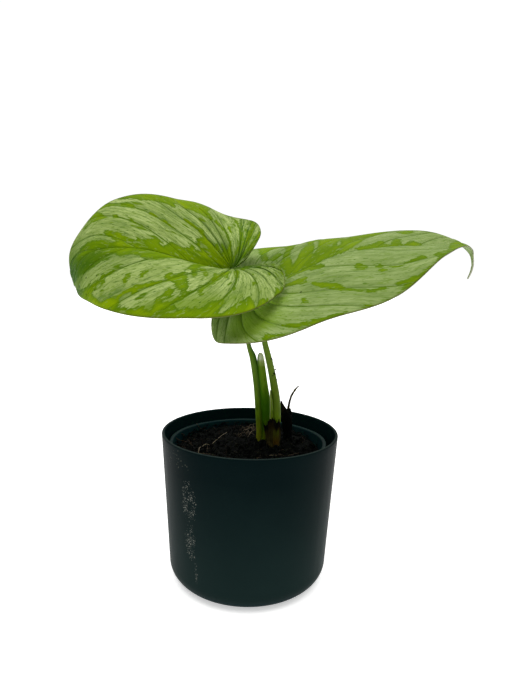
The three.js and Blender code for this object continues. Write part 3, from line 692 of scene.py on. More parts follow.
# Each root is its radius, its tone and its points, as x and y and the height above the soil, in mm.
LONG_ROOTS = [
    (0.3, 0.8, [(-41, -5.2, 1.2), (-41, 2.4, 1.4), (-39.9, 8.2, 1.5), (-36.7, 11.5, 1.8), (-33, 12.6, 1.6),
                (-28.3, 21.2, 1.8), (-24.7, 27, 1.9), (-21.1, 33.6, 2.1)]),
    (0.18, 0.55, [(-40.9, -5.4, 1.1), (-38, -5.7, 1.3), (-33.6, -10.1, 1.1), (-30, -12, 0.6)]),
    (0.16, 0.45, [(-35.1, 10.1, 1.5), (-34.6, 0.8, 1.6), (-33.8, -7.7, 1.1)]),
    (0.28, 0.35, [(-61, 8.5, 8), (-58.8, 17.5, 2.5), (-55, 19, 0.6), (-49, 12, 0.3)]),
    (0.25, 0.3, [(-58.5, 20.8, 6.5), (-54.2, 29, 0.8), (-47, 24, 0.3)]),
    (0.25, 0.35, [(-48.2, 39.5, 7), (-45, 42, 2.6), (-40.5, 44, 0.4), (-36, 40, 0.3)]),
    (0.25, 0.3, [(-54.5, 24.9, 0.5), (-50.8, 16.6, 1.4), (-47.1, 8.2, 0.3)]),
    (0.28, 0.6, [(15, -13, 0.3), (17.8, -12.7, 1), (20.9, -15, 1.6), (23.4, -9.8, 0.8)]),
    (0.25, 0.5, [(20, -10, 0.3), (23.4, -12, 1.4), (27.3, -11.7, 0.4)]),
    (0.25, 0.4, [(30.4, -11.2, 0.5), (35.3, -8.9, 0.8), (40.3, -5.2, 0.4)]),
    (0.25, 0.55, [(-10, 43.7, 0.3), (-7.6, 50.3, 1), (-4, 51, 1.8), (-0.3, 45.9, 1.5), (1.7, 38.5, 0.4)]),
    (0.22, 0.5, [(-6.9, 33.5, 0.3), (-4.6, 41.1, 1.2), (-1.1, 43.9, 1.5), (2.3, 48.5, 0.6)]),
    (0.25, 0.6, [(-2.3, 22.9, 0.3), (0.1, 32.5, 1.2), (2.5, 39.4, 1.4), (4.1, 50, 0.5)]),
]
rng = random.Random(5)
SHORT_FIBRES = 70
short_fibres = []
for _ in range(SHORT_FIBRES):
    x, y = on_soil()
    length, way = rng.uniform(2, 8), rng.uniform(0, 6.28)
    curl, lift = rng.uniform(-0.9, 0.9), rng.uniform(0, 1.6)
    points = [(x + length * 0.33 * n * math.cos(way + curl * n),
               y + length * 0.33 * n * math.sin(way + curl * n), 0.3 + lift * math.sin(n * 1.05))
              for n in range(4)]
    if all(math.hypot(px - INNER_CENTRE[0], py - INNER_CENTRE[1]) < soil_edge - 1 for px, py, _ in points):
        short_fibres.append((rng.uniform(0.12, 0.24), rng.uniform(-0.1, 0.4), points))

TANGLE = {"x": -4, "y": 38, "reach": 9, "strands": 26, "points": 7, "stride": 1.6, "back": 55}
tangle = []
for _ in range(TANGLE["strands"]):
    x, y = (TANGLE[axis] + rng.uniform(-1, 1) * TANGLE["reach"] for axis in ("x", "y"))
    way, turning = rng.uniform(0, 6.28), rng.choice([-1, 1]) * rng.uniform(0.5, 1.3)
    up, climb, points = 0.3, rng.uniform(0.2, 2.2), []
    for _ in range(TANGLE["points"]):
        points.append((x, y, up))
        way += turning * rng.uniform(0.6, 1.3)
        x += TANGLE["stride"] * math.cos(way)
        y = min(y + TANGLE["stride"] * math.sin(way), TANGLE["back"])
        up = max(0.2, up + climb * rng.uniform(0.2, 1.2))
        climb *= rng.choice([1, 1, 1, -0.6])
    tangle.append((rng.uniform(0.1, 0.2), rng.uniform(0.15, 0.8), points))

fibres = bmesh.new()
fibres.verts.layers.float.new("tone")
for thick, shade, points in LONG_ROOTS + tangle + short_fibres:
    strand = bmesh.new()
    tone_of = strand.verts.layers.float.new("tone")
    rows = []
    for n, (x, y, up) in enumerate(points):
        radius = thick * (1 - 0.5 * (n / len(points)))
        rows.append([x, y, rough_soil(x, y) + up, radius, radius])
    stem(rows, 5, 6 if len(points) > 4 else 3, lumps=0.15, into=strand)
    for v in strand.verts:
        v[tone_of] = shade
    strand.to_mesh(heap_mesh)
    strand.free()
    fibres.from_mesh(heap_mesh)
new_piece("soil_fibres", fibres, root_finish, slot="soil")

# %% [markdown]
# ## Dry parts
# The leaves before these two have died back. Their sheaths stay: a torn brown collar round the foot
# of the back stalk, and beside it the stump of an old stalk with a dry point and a long thread. The
# collar is a grid of faces wrapped round the stalk. Its upper edge is cut ragged by noise, and
# noise also crumples the wall. The stump and its thread are stems like the others, with lumps.

# %% Dry parts
dry_finish, tree = new_finish("dried_sheath_fibre")
place = add(tree, "TexCoord").outputs["Object"]
age = add(tree, "Attribute", attribute_name="age").outputs["Fac"]
drawn = add(tree, "Mapping", {"Vector": place, "Scale": (700, 700, 60)})
strands = add(tree, "TexNoise", {"Vector": drawn, "Scale": 1.0, "Detail": 5.0})
blots = add(tree, "TexNoise", {"Vector": place, "Scale": 170.0, "Detail": 3.0})
aged = add(tree, "Math", {0: strands, 1: 0.5, 2: age}, operation="MULTIPLY_ADD")
aged = add(tree, "Math", {0: blots, 1: 0.7, 2: aged}, operation="MULTIPLY_ADD")
ramp = set_stops(add(tree, "ValToRGB", {0: aged}), [
    (0.35, "#050808"), (0.55, "#15110a"), (0.68, "#2b210c"), (0.8, "#3a3414"), (1.0, "#4e4526")])
xyz = add(tree, "SeparateXYZ", {0: place})
living = add(tree, "Attribute", attribute_name="living").outputs["Fac"]
up = add(tree, "MapRange", {"Value": xyz.outputs["Z"], "From Min": 109 * MM, "From Max": 116 * MM})
still_green = add(tree, "Mix", {0: up, 6: tint("#5e4410"), 7: tint("#5a6018")}, data_type="RGBA")
patches = add(tree, "Math", {0: living, 1: strands}, operation="MULTIPLY")
patches = add(tree, "MapRange", {"Value": patches, "From Min": 0.15, "From Max": 0.4})
husk_tone = add(tree, "Mix", {0: patches, 6: ramp, 7: still_green}, data_type="RGBA")
crisp = add(tree, "MapRange", {"Value": strands, "To Min": 0.6, "To Max": 0.9})
set_shader(tree, husk_tone, crisp, (strands, 0.8, 0.6), {"Specular IOR Level": 0.05})

# %% Collar
COLLAR = {"x": 19.2, "y": 6, "foot": 103.5, "foot_radius": 5.0, "thick": 0.4}
# Directions round the stalk in degrees, with the radius and height of the upper edge there, in mm.
COLLAR_ROWS = [
    [-200, 5.6, 119], [-178, 8.2, 122], [-160, 7.2, 120], [-142, 5.6, 126], [-115, 5.2, 128],
    [-95, 5.3, 128.5], [-70, 5.1, 125], [-45, 5.3, 127], [-15, 5.4, 120],
]
collar = bmesh.new()
bmesh.ops.create_grid(collar, x_segments=96, y_segments=18, size=0.5)
age_of = collar.verts.layers.float.new("age")
living_of = collar.verts.layers.float.new("living")
for v in collar.verts:
    around, up = v.co.x + 0.5, v.co.y + 0.5
    degrees, reach, top = row_at(COLLAR_ROWS, around * (len(COLLAR_ROWS) - 1))
    top += 1.5 * noise.noise(Vector((around * 17, 2, 5))) + 1.6 * noise.noise(Vector((around * 45, 7, 1)))
    z = COLLAR["foot"] + (top - COLLAR["foot"]) * up
    radius = COLLAR["foot_radius"] + (reach - COLLAR["foot_radius"]) * up
    radius += 0.5 * noise.noise(Vector((around * 22, z * 0.25, 3))) + 0.35 * up
    angle = math.radians(degrees)
    v.co = Vector((COLLAR["x"] + radius * math.cos(angle), COLLAR["y"] + radius * math.sin(angle), z)) * MM
    v[age_of] = 0.26 - 0.45 * max(0, up - 0.6) / 0.4
    v[living_of] = math.exp(-(((degrees + 68) / 34) ** 2) - ((up - 0.36) / 0.36) ** 4)
bmesh.ops.recalc_face_normals(collar, faces=collar.faces)
dry_collar = new_piece("dry_collar", collar, dry_finish, node="dry_sheath", slot="dry_tissue")
wall = dry_collar.modifiers.new("thickness", "SOLIDIFY")
wall.thickness = COLLAR["thick"] * MM
wall.offset = 0

# %% Old stalk
STUMP = [[31, 20, 94, 3.6, 3.4], [31.2, 20, 104, 3.7, 3.5], [31, 20, 118, 3.4, 3.2],
         [31, 20, 128, 3.1, 2.8], [30.8, 20, 131.2, 2.3, 2], [30.6, 20, 132, 0.8, 0.8]]
DRY_POINT = [[29.5, 20, 112, 2.6, 2.2], [28.4, 20, 124, 3, 2.2], [26.8, 20, 131, 2.6, 1.6],
             [25.7, 20, 134.8, 1.5, 1], [24.8, 20, 138.8, 0.35, 0.35]]
THREAD = [[30.8, 20, 128, 1.4, 1.2], [31.2, 20, 133, 1.1, 1], [31.9, 20, 137.5, 0.95, 0.95],
          [32.8, 20, 141.5, 0.9, 0.9], [34.4, 20, 145.2, 0.85, 0.85], [36.6, 20, 148.8, 0.8, 0.8],
          [39, 20, 151.6, 0.5, 0.5]]
old_stalk = bmesh.new()
age_of = old_stalk.verts.layers.float.new("age")
for rows, sides, lumps, seed, dryness in [
    (STUMP, 36, 0.35, 1, (-0.35, -0.2)),
    (DRY_POINT, 20, 0.3, 2, (-0.3, 0.2)),
    (THREAD, 10, 0.3, 3, (0.15, 0.5)),
]:
    before = set(old_stalk.verts)
    groove = (-40, 12, 0.25) if rows is not THREAD else None
    stem(rows, sides, groove=groove, lumps=lumps, seed=seed, into=old_stalk)
    base, tip = rows[0][2], rows[-1][2]
    for v in set(old_stalk.verts) - before:
        share = min(max((v.co.z / MM - base) / (tip - base), 0), 1)
        v[age_of] = dryness[0] + (dryness[1] - dryness[0]) * share ** 3
new_piece("old_stalk", old_stalk, dry_finish, node="old_stump", slot="dry_tissue")

# %% [markdown]
# A few grains of soil stick to the back stalk. Each is a small ball that noise has made uneven.

# %% Specks on the stalk
# Places in mm, with the radius of each grain.
STALK_SPECKS = [
    (15.6, 2, 176.8, 0.8), (16.6, 2.2, 175.9, 0.45), (18.9, 3.2, 167.9, 0.7), (18.1, 2.2, 165, 0.95),
    (18.9, 3, 164.2, 0.55), (17.4, 1.9, 163.9, 0.4), (18.4, 2.6, 166.3, 0.4), (16.9, 1.6, 163.2, 0.5),
    (20.1, 3.6, 159.8, 0.5), (20.3, 3.4, 158.6, 0.35), (17.9, 2.8, 170.6, 0.35),
]
specks = bmesh.new()
specks.faces.layers.float.new("tone")
for x, y, z, size in STALK_SPECKS:
    dot = Matrix.Translation(Vector((x, y, z)) * MM) @ Matrix.Diagonal((1, 0.7, 0.8, 1))
    bmesh.ops.create_icosphere(specks, subdivisions=2, radius=size * MM, matrix=dot)
for v in specks.verts:
    spot = v.co * 1800
    v.co += Vector([noise.noise(spot + Vector((0, 0, 7 * k))) for k in range(3)]) * 0.25 * MM
new_piece("stalk_specks", specks, soil_finish, slot="soil")

# %% [markdown]
# The rhizome lies in the soil, out of sight. It keeps its solid and gets a bark.

# %% Rhizome
bark, tree = new_finish("rhizome_bark")
place = add(tree, "TexCoord").outputs["Object"]
rings = add(tree, "TexNoise", {"Vector": place, "Scale": 240.0, "Detail": 5.0})
colour = add(tree, "Mix", {0: rings, 6: tint("#5a4024"), 7: tint("#8a6a3c")}, data_type="RGBA")
dull = add(tree, "MapRange", {"Value": rings, "To Min": 0.7, "To Max": 0.9})
set_shader(tree, colour, dull, (rings, 0.6, 0.5))
rhizome = bpy.data.objects["rhizome"]
for material_slot in rhizome.material_slots:
    material_slot.material = bark
print("bark on", rhizome.name, len(rhizome.material_slots))

# %% [markdown]
# ## Leaves
# A leaf starts as a flat heart. Its veins leave the junction, or the midrib, and sweep out to the
# margin, and every place on it is given by two numbers: how far round the margin its vein ends, and
# how far out along that vein it lies. The sheet is then bent: stations along the midrib say how it
# arches, turns and twists, and how each half is folded and curled. A grid of faces takes these two
# numbers as its own rows and columns, so its edges run along the veins, and so does its UV map.

# %% Leaf shapes
# Lengths are in mm and turns in degrees. A row of the pose is a distance along the midrib, the arch,
# turn and twist up to there, and then the fold and the curl of the left half and of the right half.
FRONT_LEAF = {
    "junction": (-17, 1, 245.8), "heading": 206.5, "pitch": -3.5, "roll": -40,
    "length": 172, "width": 74, "lobes": (41, 37), "shoulder": 0.945, "sinus": (0.09, 0.135),
    "fan": 0.69, "bow": 0.13, "lobe_bow": (0.08, 0),
    "pose": [
        (-45, 76, -2, 12, 13, -15, -9, 8), (0, 0, 0, 0, 43, -33, 36, -47),
        (45, -16, -10, 3, 21, -32, 21, -19), (90, 13, -11, -17, 14, -35, 6, -30),
        (125, 72, -9, -27, 0, -17, -7, -14), (160, 106, -8, -34, 7, -6, 17, -6),
        (200, 165, 0, -5, 1, 2, 1, 3),
    ],
}
BACK_LEAF = {
    "junction": (1.1, 0, 233.9), "heading": -20, "pitch": 13, "roll": 40,
    "length": 203, "width": 79, "lobes": (35.5, 35.5), "shoulder": 0.95, "sinus": (0.09, 0.09),
    "fan": 0.65, "bow": 0.24, "lobe_bow": (0, 0),
    "pose": [
        (-45, 7, 18, -9, 11, -8, 3, -20), (0, 0, 0, 0, 3, -26, 13, -6),
        (45, -7, 11, -1, -3, -22, 13, -11), (90, 19, 24, -5, -1, -27, 15, -34),
        (125, 28, 28, -9, 4, -21, 12, -7), (160, 29, 26, -9, 3, 7, 13, 4),
        (200, 131, 11, 1, -1, 3, 0, 4),
    ],
}
SINUS_BOW = -0.05  # how far the veins beside the sinus bow, as a share of their length
STATION = 4  # from one station of the midrib to the next
CURL_OVER = 60  # each half turns by its curl over this distance
QUILT = 1.3  # how high the blade swells between two veins
DRIP = {"from": 0.86, "over": 0.08, "narrowed": 0.9}  # where the tip narrows, in shares of the length
SHEET = 0.55  # the blade's thickness


def pose_at(rows, x):
    """Every column of the pose at a distance along the midrib."""
    last = len(rows) - 1
    s = min(max(x, rows[0][0]), rows[last][0])
    i = 0
    while i < last - 1 and s >= rows[i + 1][0]:
        i += 1
    span = rows[i + 1][0] - rows[i][0]
    u = (s - rows[i][0]) / span

    def slope(k, c):
        before, after = rows[max(k - 1, 0)], rows[min(k + 1, last)]
        return (after[c] - before[c]) / (after[0] - before[0])

    return [
        rows[i][c] + (rows[i + 1][c] - rows[i][c]) * (3 * u * u - 2 * u ** 3)
        + (u ** 3 - 2 * u * u + u) * slope(i, c) * span + (u ** 3 - u * u) * slope(i + 1, c) * span
        for c in range(len(rows[0]))
    ]


def midrib(leaf):
    """Place, direction, side and upward direction of the bent midrib every few millimetres."""
    heading, pitch, roll = (math.radians(leaf[k]) for k in ("heading", "pitch", "roll"))
    level = math.cos(pitch)
    along = Vector((level * math.cos(heading), level * math.sin(heading), math.sin(pitch)))
    across = Quaternion(along, roll) @ Vector((-math.sin(heading), math.cos(heading), 0))
    stations = {0: (Vector(leaf["junction"]), along, across, along.cross(across))}
    for way, reach in ((1, leaf["length"]), (-1, max(leaf["lobes"]))):
        for k in range(math.ceil(reach / STATION) + 1):
            point, along, across, up = stations[way * k]
            now, ahead = (pose_at(leaf["pose"], way * (k + n) * STATION) for n in (0, 1))
            arch, turn, twist = (math.radians(ahead[c] - now[c]) for c in (1, 2, 3))
            next_along, next_up = (Quaternion(across, arch) @ v for v in (along, up))
            next_along, next_across = (Quaternion(next_up, turn) @ v for v in (next_along, across))
            next_across, next_up = (Quaternion(next_along, twist) @ v for v in (next_across, next_up))
            stride = (along + next_along) * (way * STATION / 2)
            stations[way * (k + 1)] = (point + stride, next_along, next_across, next_up)
    return stations


def heart(leaf, a, b, side):
    """A place of the flat heart in mm: a goes round the margin, b goes out along the vein."""
    half = 0 if side > 0 else 1
    length, width, lobe, sinus = leaf["length"], leaf["width"], leaf["lobes"][half], leaf["sinus"][half]
    margin = [(0, 0), (-0.5 * lobe, sinus * width), (-0.97 * lobe, 0.4 * width),
              (-0.78 * lobe, 0.78 * width), (0.1 * length, width),
              (0.3 * length, leaf["shoulder"] * width), (0.5 * length, 0.74 * width),
              (0.72 * length, 0.4 * width), (0.88 * length, 0.1 * width), (length, 1)]
    ex, ey = row_at(margin, a * (len(margin) - 1))
    root = length * min(max((a - leaf["fan"]) / (1 - leaf["fan"]), 0), 1)
    ramp = min(max((a - 0.06) / 0.24, 0), 1)
    bow = SINUS_BOW + (leaf["bow"] - SINUS_BOW) * ramp * ramp * (3 - 2 * ramp)
    bow += leaf["lobe_bow"][half] * math.exp(-(((a - 0.32) / 0.12) ** 2))
    cx, cy = (root + ex) / 2 - bow * ey, ey / 2 + bow * (ex - root)
    x = (1 - b) ** 2 * root + 2 * b * (1 - b) * cx + b * b * ex
    return x, side * (2 * b * (1 - b) * cy + b * b * ey)


def bend(leaf, stations, x, y):
    """The place and the upward direction of the bent sheet at a place of the flat heart, in mm."""
    k = math.floor(x / STATION)
    share = x / STATION - k
    point, _, across, up = (p.lerp(q, share) for p, q in zip(stations[k], stations[k + 1]))
    across.normalize()
    up.normalize()
    pose = pose_at(leaf["pose"], x)
    way = 1 if y > 0 else -1
    fold = math.radians(pose[4] if way > 0 else pose[6])
    curl = math.radians(pose[5] if way > 0 else pose[7]) / CURL_OVER
    if abs(curl) < 1e-5:
        curl = 1e-5
    angle = fold + curl * abs(y)
    out = (math.sin(angle) - math.sin(fold)) / curl
    rise = (math.cos(fold) - math.cos(angle)) / curl
    normal = up * math.cos(angle) - across * way * math.sin(angle)
    return point + across * way * out + up * rise, normal.normalized()


# %% [markdown]
# The main veins don't end evenly round the margin, so each half lists where its own end. A phase
# counts them: it is a whole number on a vein and a half between two. The blade swells up between
# the veins and dips sharply at each, which is the quilting that the light picks out.
#
# The silver is broken by green: a feathered stripe along the midrib, a band inside the margin and
# blotches strung along some veins. Each is drawn as a short outline in mm on the flat heart. A blade
# stores how far inside an outline each place is, and noise in the shader tears the edge along the
# veins. The back leaf has one half nearly all green, so there a few silver patches are cut back out.

# %% Veins and green blotches
FRONT_VEINS = {
    1: [-0.05, 0.04, 0.12, 0.19, 0.26, 0.325, 0.385, 0.435, 0.52, 0.603, 0.695, 0.773, 0.835, 0.9, 0.96,
        1.03],
    -1: [-0.05, 0.05, 0.13, 0.2, 0.285, 0.335, 0.41, 0.475, 0.548, 0.625, 0.705, 0.757, 0.825, 0.875,
         0.93, 1.01],
}
BACK_VEINS = {
    1: [-0.05, 0.06, 0.13, 0.2, 0.27, 0.345, 0.42, 0.49, 0.56, 0.63, 0.7, 0.76, 0.82, 0.88, 0.94, 1.01],
    -1: [-0.05, 0.05, 0.12, 0.2, 0.27, 0.34, 0.385, 0.44, 0.503, 0.585, 0.66, 0.728, 0.8, 0.87, 0.93,
         1.01],
}
FRONT_GREEN = [
    [(140, -10), (121, -8), (107, -9), (91, -4), (89, -5), (96, -11), (97, -13), (95, -15), (91, -12),
     (89, -12), (88, -13), (84, -10), (76, -6), (75, -9), (70, -8), (65, -10), (64, -13), (62, -13),
     (56, -9), (59, -9), (59, -7), (57, -6), (51, -13), (27, -6), (1, -1), (8, 3), (16, 7), (27, 12),
     (33, 16), (35, 4), (39, 2), (45, 3), (62, 14), (68, 14), (73, 12), (74, 9), (76, 10), (79, 9),
     (85, 11), (88, 10), (89, 8), (92, 7), (102, 14), (111, 15), (136, 9), (159, -4), (154, -7),
     (148, -9)],
    [(44, 23), (36, 11), (34, 14), (35, 19), (38, 23), (40, 33), (42, 36), (43, 35), (41, 24),
     (43, 25)],
    [(49, 29), (47, 27), (46, 27), (45, 31), (47, 40), (46, 39), (46, 41), (49, 53), (50, 53),
     (50, 49), (52, 46), (53, 47), (54, 40), (59, 35), (59, 32), (55, 28), (54, 29), (54, 32),
     (52, 32)],
    [(60, 36), (64, 37), (76, 38), (91, 43), (87, 45), (82, 42), (78, 43), (76, 45), (74, 41),
     (69, 41), (58, 37)],
    [(147, 10), (119, 24), (111, 26), (103, 25), (101, 27), (104, 29), (103, 32), (108, 31),
     (109, 33), (102, 41), (94, 41), (87, 44), (85, 46), (89, 50), (79, 54), (72, 55), (67, 60),
     (64, 51), (62, 51), (60, 56), (55, 56), (54, 62), (53, 64), (48, 63), (47, 66), (44, 64),
     (40, 66), (38, 61), (34, 61), (29, 60), (30, 64), (35, 71), (32, 72), (25, 67), (20, 61),
     (20, 64), (19, 66), (18, 63), (15, 62), (14, 73), (11, 71), (9, 68), (7, 67), (6, 70), (3, 68),
     (3, 70), (10, 74), (7, 75), (3, 74), (-25, 55), (-32, 60), (0, 77), (37, 76), (51, 73), (67, 67),
     (103, 47), (128, 31), (147, 15)],
    [(82, 28), (79, 26), (80, 30), (79, 31), (81, 32), (82, 35), (84, 35), (84, 32)],
    [(75, 32), (72, 27), (70, 28), (66, 25), (71, 31), (73, 33)],
    [(100, 25), (98, 23), (91, 23), (88, 20), (87, 22), (90, 24), (96, 25), (96, 29), (98, 30),
     (98, 27), (100, 29), (106, 30), (109, 28)],
    [(58, 45), (56, 43), (55, 48), (56, 52), (58, 53), (60, 51), (60, 48)],
    [(56, 55), (45, 49), (46, 52), (51, 56), (56, 57)],
    [(42, 49), (40, 44), (36, 43), (35, 46), (39, 50), (40, 54), (41, 54)],
    [(14, 22), (19, 24), (24, 30), (27, 31), (27, 28), (29, 30), (29, 33), (35, 41), (35, 44),
     (33, 42), (33, 45), (23, 33), (23, 37), (21, 38), (19, 32), (14, 27)],
    [(35, 28), (33, 26), (32, 28), (33, 33), (35, 35), (36, 34)],
    [(22, 50), (21, 50), (20, 51), (22, 54)],
    [(35, 20), (32, 20), (31, 22), (31, 25), (34, 25), (36, 24)],
    [(0, 14), (-10, 2), (-14, -6), (-19, 6), (-25, 11), (-15, 4), (-14, 12), (0, 21)],
    [(10, 23), (4, 16), (6, 25), (13, 37), (17, 41), (15, 34)],
    [(121, -26), (114, -33), (113, -38), (109, -40), (104, -37), (96, -28), (100, -26), (111, -27)],
    [(109, -42), (106, -46), (102, -47), (90, -44), (82, -46), (77, -43), (76, -40), (78, -38),
     (90, -41), (99, -41), (103, -40)],
    [(90, -54), (89, -50), (80, -52), (72, -51), (63, -55), (54, -56), (47, -53), (45, -56),
     (46, -60), (43, -62), (40, -61), (36, -58), (32, -58), (11, -43), (8, -46), (10, -55), (-2, -68),
     (10, -77), (30, -80), (56, -75), (77, -64)],
    [(67, -38), (65, -39), (61, -35), (65, -34), (67, -35)],
    [(92, -28), (91, -30), (89, -29), (88, -26), (90, -26)],
    [(81, -26), (80, -28), (78, -24), (66, -19), (70, -19), (79, -23)],
    [(60, -33), (54, -34), (53, -31), (50, -30), (47, -28), (51, -28)],
    [(29, -34), (25, -33), (23, -31), (22, -28), (20, -24), (12, -15), (2, -2), (12, -6), (20, -12),
     (24, -17), (30, -21), (27, -24), (24, -24)],
    [(39, -42), (35, -41), (27, -33), (30, -32), (37, -38)],
    [(42, -10), (35, -13), (37, -16), (35, -17), (30, -11), (27, -12), (30, -19), (27, -21),
     (22, -13), (19, -15), (22, -21), (17, -23), (14, -18), (11, -21), (8, -12), (6, -16), (8, -20),
     (6, -21), (2, -15), (-4, -25), (-6, -24), (-3, -16), (-3, -10), (1, -1), (27, -6)],
    [(9, -43), (4, -45), (-4, -34), (-5, -29), (-4, -23), (-2, -24), (-2, -31)],
    [(-21, -59), (-23, -57), (-24, -50), (-22, -33), (-19, -26), (-14, -19), (-5, -10), (-2, -5),
     (-2, -9), (-15, -23), (-19, -31), (-22, -40)],
    [(-32, -48), (-34, -45), (-33, -37), (-30, -31), (-26, -26), (-5, -7), (-9, -13), (-24, -28),
     (-29, -34), (-32, -41)],
    [(-35, -31), (-37, -31), (-34, -24), (-23, -14), (-8, -6), (-5, -3), (-10, -9), (-30, -23)],
    [(-11, -41), (-13, -40), (-11, -36), (-9, -34), (-8, -37)],
]
BACK_GREEN = [
    [(26, -13), (28, -8), (32, -5), (48, -5), (55, 1), (74, 2), (83, 7), (90, 13), (95, 19),
     (137, 43), (120, 53), (91, 48), (39, 71), (0, 77), (-10, 67), (0, 33), (13, 28), (24, 10),
     (28, -3)],
    [(45, -5), (49, -3), (54, -4), (57, -9), (56, -13), (54, -14), (48, -10)],
    [(82, 3), (98, 7), (106, 12), (109, 11), (107, 5), (110, 3), (119, 13), (122, 15), (124, 13),
     (119, 2), (121, 1), (114, -5), (109, -3), (102, -3), (84, -2)],
    [(121, 2), (132, 8), (137, 3), (134, -1), (122, -10)],
    [(131, 33), (140, 33), (144, 30), (144, 27), (134, 24), (131, 28)],
    [(128, 43), (134, 43), (145, 34), (155, 23), (153, 32), (131, 47)],
    [(73, -27), (74, -26), (77, -27), (80, -33), (77, -36), (75, -37), (73, -35)],
    [(84, -35), (88, -31), (88, -34), (86, -37), (88, -42), (87, -44), (83, -42), (85, -39)],
    [(89, -37), (95, -40), (101, -40), (99, -41), (95, -42), (92, -41)],
    [(100, -39), (113, -37), (114, -40), (114, -43), (109, -41), (101, -40)],
    [(97, -56), (103, -55), (116, -49), (150, -21), (173, 7), (136, -36), (123, -46), (102, -59),
     (86, -64)],
    [(119, -40), (132, -35), (132, -38), (124, -44), (119, -46)],
    [(87, -56), (99, -54), (100, -56), (90, -58)],
    [(30, -15), (33, -15), (43, -17), (44, -20), (43, -28), (36, -23), (27, -19), (27, -14)],
    [(47, -31), (61, -44), (63, -50), (68, -54), (63, -51), (61, -52), (60, -51), (57, -46),
     (50, -39)],
    [(65, -53), (75, -58), (80, -56), (84, -59), (73, -60), (72, -58), (68, -57)],
    [(40, -48), (41, -47), (43, -49), (44, -54), (42, -54)],
    [(67, -70), (72, -69), (73, -70), (69, -72), (67, -71)],
    [(30, -68), (37, -72), (49, -75), (53, -75), (60, -73), (57, -76), (52, -78), (44, -80),
     (43, -76), (42, -77), (40, -75), (39, -77), (37, -76)],
    [(21, -76), (22, -74), (34, -79), (25, -78), (22, -79)],
    [(143, -23), (174, 11), (158, -25), (162, -26), (119, -56), (141, -41), (143, -33), (133, -40)],
]
BACK_SILVER = [
    [(26, 62), (31, 71), (39, 70), (44, 50), (39, 36), (36, 21), (32, 11), (26, 38)],
    [(51, 54), (58, 45), (56, 33), (52, 13), (50, 18), (52, 28)],
    [(3, 40), (0, 52), (2, 62), (8, 63), (15, 60), (19, 47), (19, 39), (10, 45), (6, 34)],
    [(15, 29), (18, 44), (20, 32), (19, 17)],
    [(82, 49), (97, 46), (88, 32), (83, 30), (80, 37)],
    [(71, 18), (75, 26), (78, 29), (76, 20), (72, 15)],
]
# Soft spots, each as its middle in mm on the flat heart, its half-widths and how much there is: where
# the green deepens, which is also painted shade where the blade turns from the light, where the silver
# thins to a veil over the green, and painted light, where the skin is lifted in the shade of the blade
# above it.
FRONT_SOFT = {
    "deep": [(150, 6, 34, 32, 0.9), (100, 8, 34, 9, 0.35), (-14, 8, 14, 12, 0.5), (70, 60, 70, 12, 0.1)],
    "veil": [(140, 10, 34, 34, 0.75), (70, 62, 70, 11, 0.95), (60, 0, 60, 9, 0.5)],
    "bright": [(-14, -32, 16, 22, 0.09)],
}
BACK_SOFT = {
    "deep": [(-26, -52, 12, 26, 0.1), (10, 20, 16, 26, 0.3)],
    "veil": [(14, -43, 15, 13, 0.85), (6, -60, 14, 14, 0.9), (-4, -40, 9, 16, 0.6), (22, -62, 22, 12, 0.6),
             (30, -36, 11, 9, 0.6)],
    "bright": [(-10, 50, 12, 12, 0.28), (18, -36, 10, 8, 0.8), (8, -54, 20, 13, 0.35)],
}
PATTERN_REACH = 4


def phase_at(veins, a):
    """Counts the main veins round the margin: whole numbers on a vein."""
    for k in range(len(veins) - 1):
        if a <= veins[k + 1]:
            return k + (a - veins[k]) / (veins[k + 1] - veins[k])
    return len(veins) - 1


def boxed(outlines):
    """Each outline with the box, a few mm larger, outside which it needn't be looked at."""
    boxes = []
    for outline in outlines:
        (low_x, low_y), (high_x, high_y) = ([end(c) for c in zip(*outline)] for end in (min, max))
        boxes.append((low_x - PATTERN_REACH, high_x + PATTERN_REACH, low_y - PATTERN_REACH,
                      high_y + PATTERN_REACH, outline))
    return boxes


def depth_in(boxes, x, y):
    """How far in mm a place lies inside the nearest outline, or outside it if below 0."""
    best = -PATTERN_REACH
    for low_x, high_x, low_y, high_y, outline in boxes:
        if not (low_x < x < high_x and low_y < y < high_y):
            continue
        nearest, inside = 1e9, False
        x1, y1 = outline[-1]
        for x2, y2 in outline:
            dx, dy = x2 - x1, y2 - y1
            share = min(max(((x - x1) * dx + (y - y1) * dy) / (dx * dx + dy * dy), 0), 1)
            nearest = min(nearest, (x - x1 - share * dx) ** 2 + (y - y1 - share * dy) ** 2)
            if (y1 > y) != (y2 > y) and x < x1 + dx * (y - y1) / dy:
                inside = not inside
            x1, y1 = x2, y2
        best = max(best, math.sqrt(nearest) * (1 if inside else -1))
    return best


def sum_of(spots, x, y):
    """How much of the soft spots there is at a place of the flat heart, from 0 to 1."""
    total = sum(amount * math.exp(-((x - x0) / half_x) ** 2 - ((y - y0) / half_y) ** 2)
                for x0, y0, half_x, half_y, amount in spots)
    return min(total, 1.0)


# %% Leaf blades
# Rows of faces lie closer by the midrib than at the margin, which the power does. The nudge is the
# small step round the margin that the spread is measured over.
ROUND_STEPS, OUT_STEPS = 340, 58
OUT_POWER = 1.35
NUDGE = 0.002


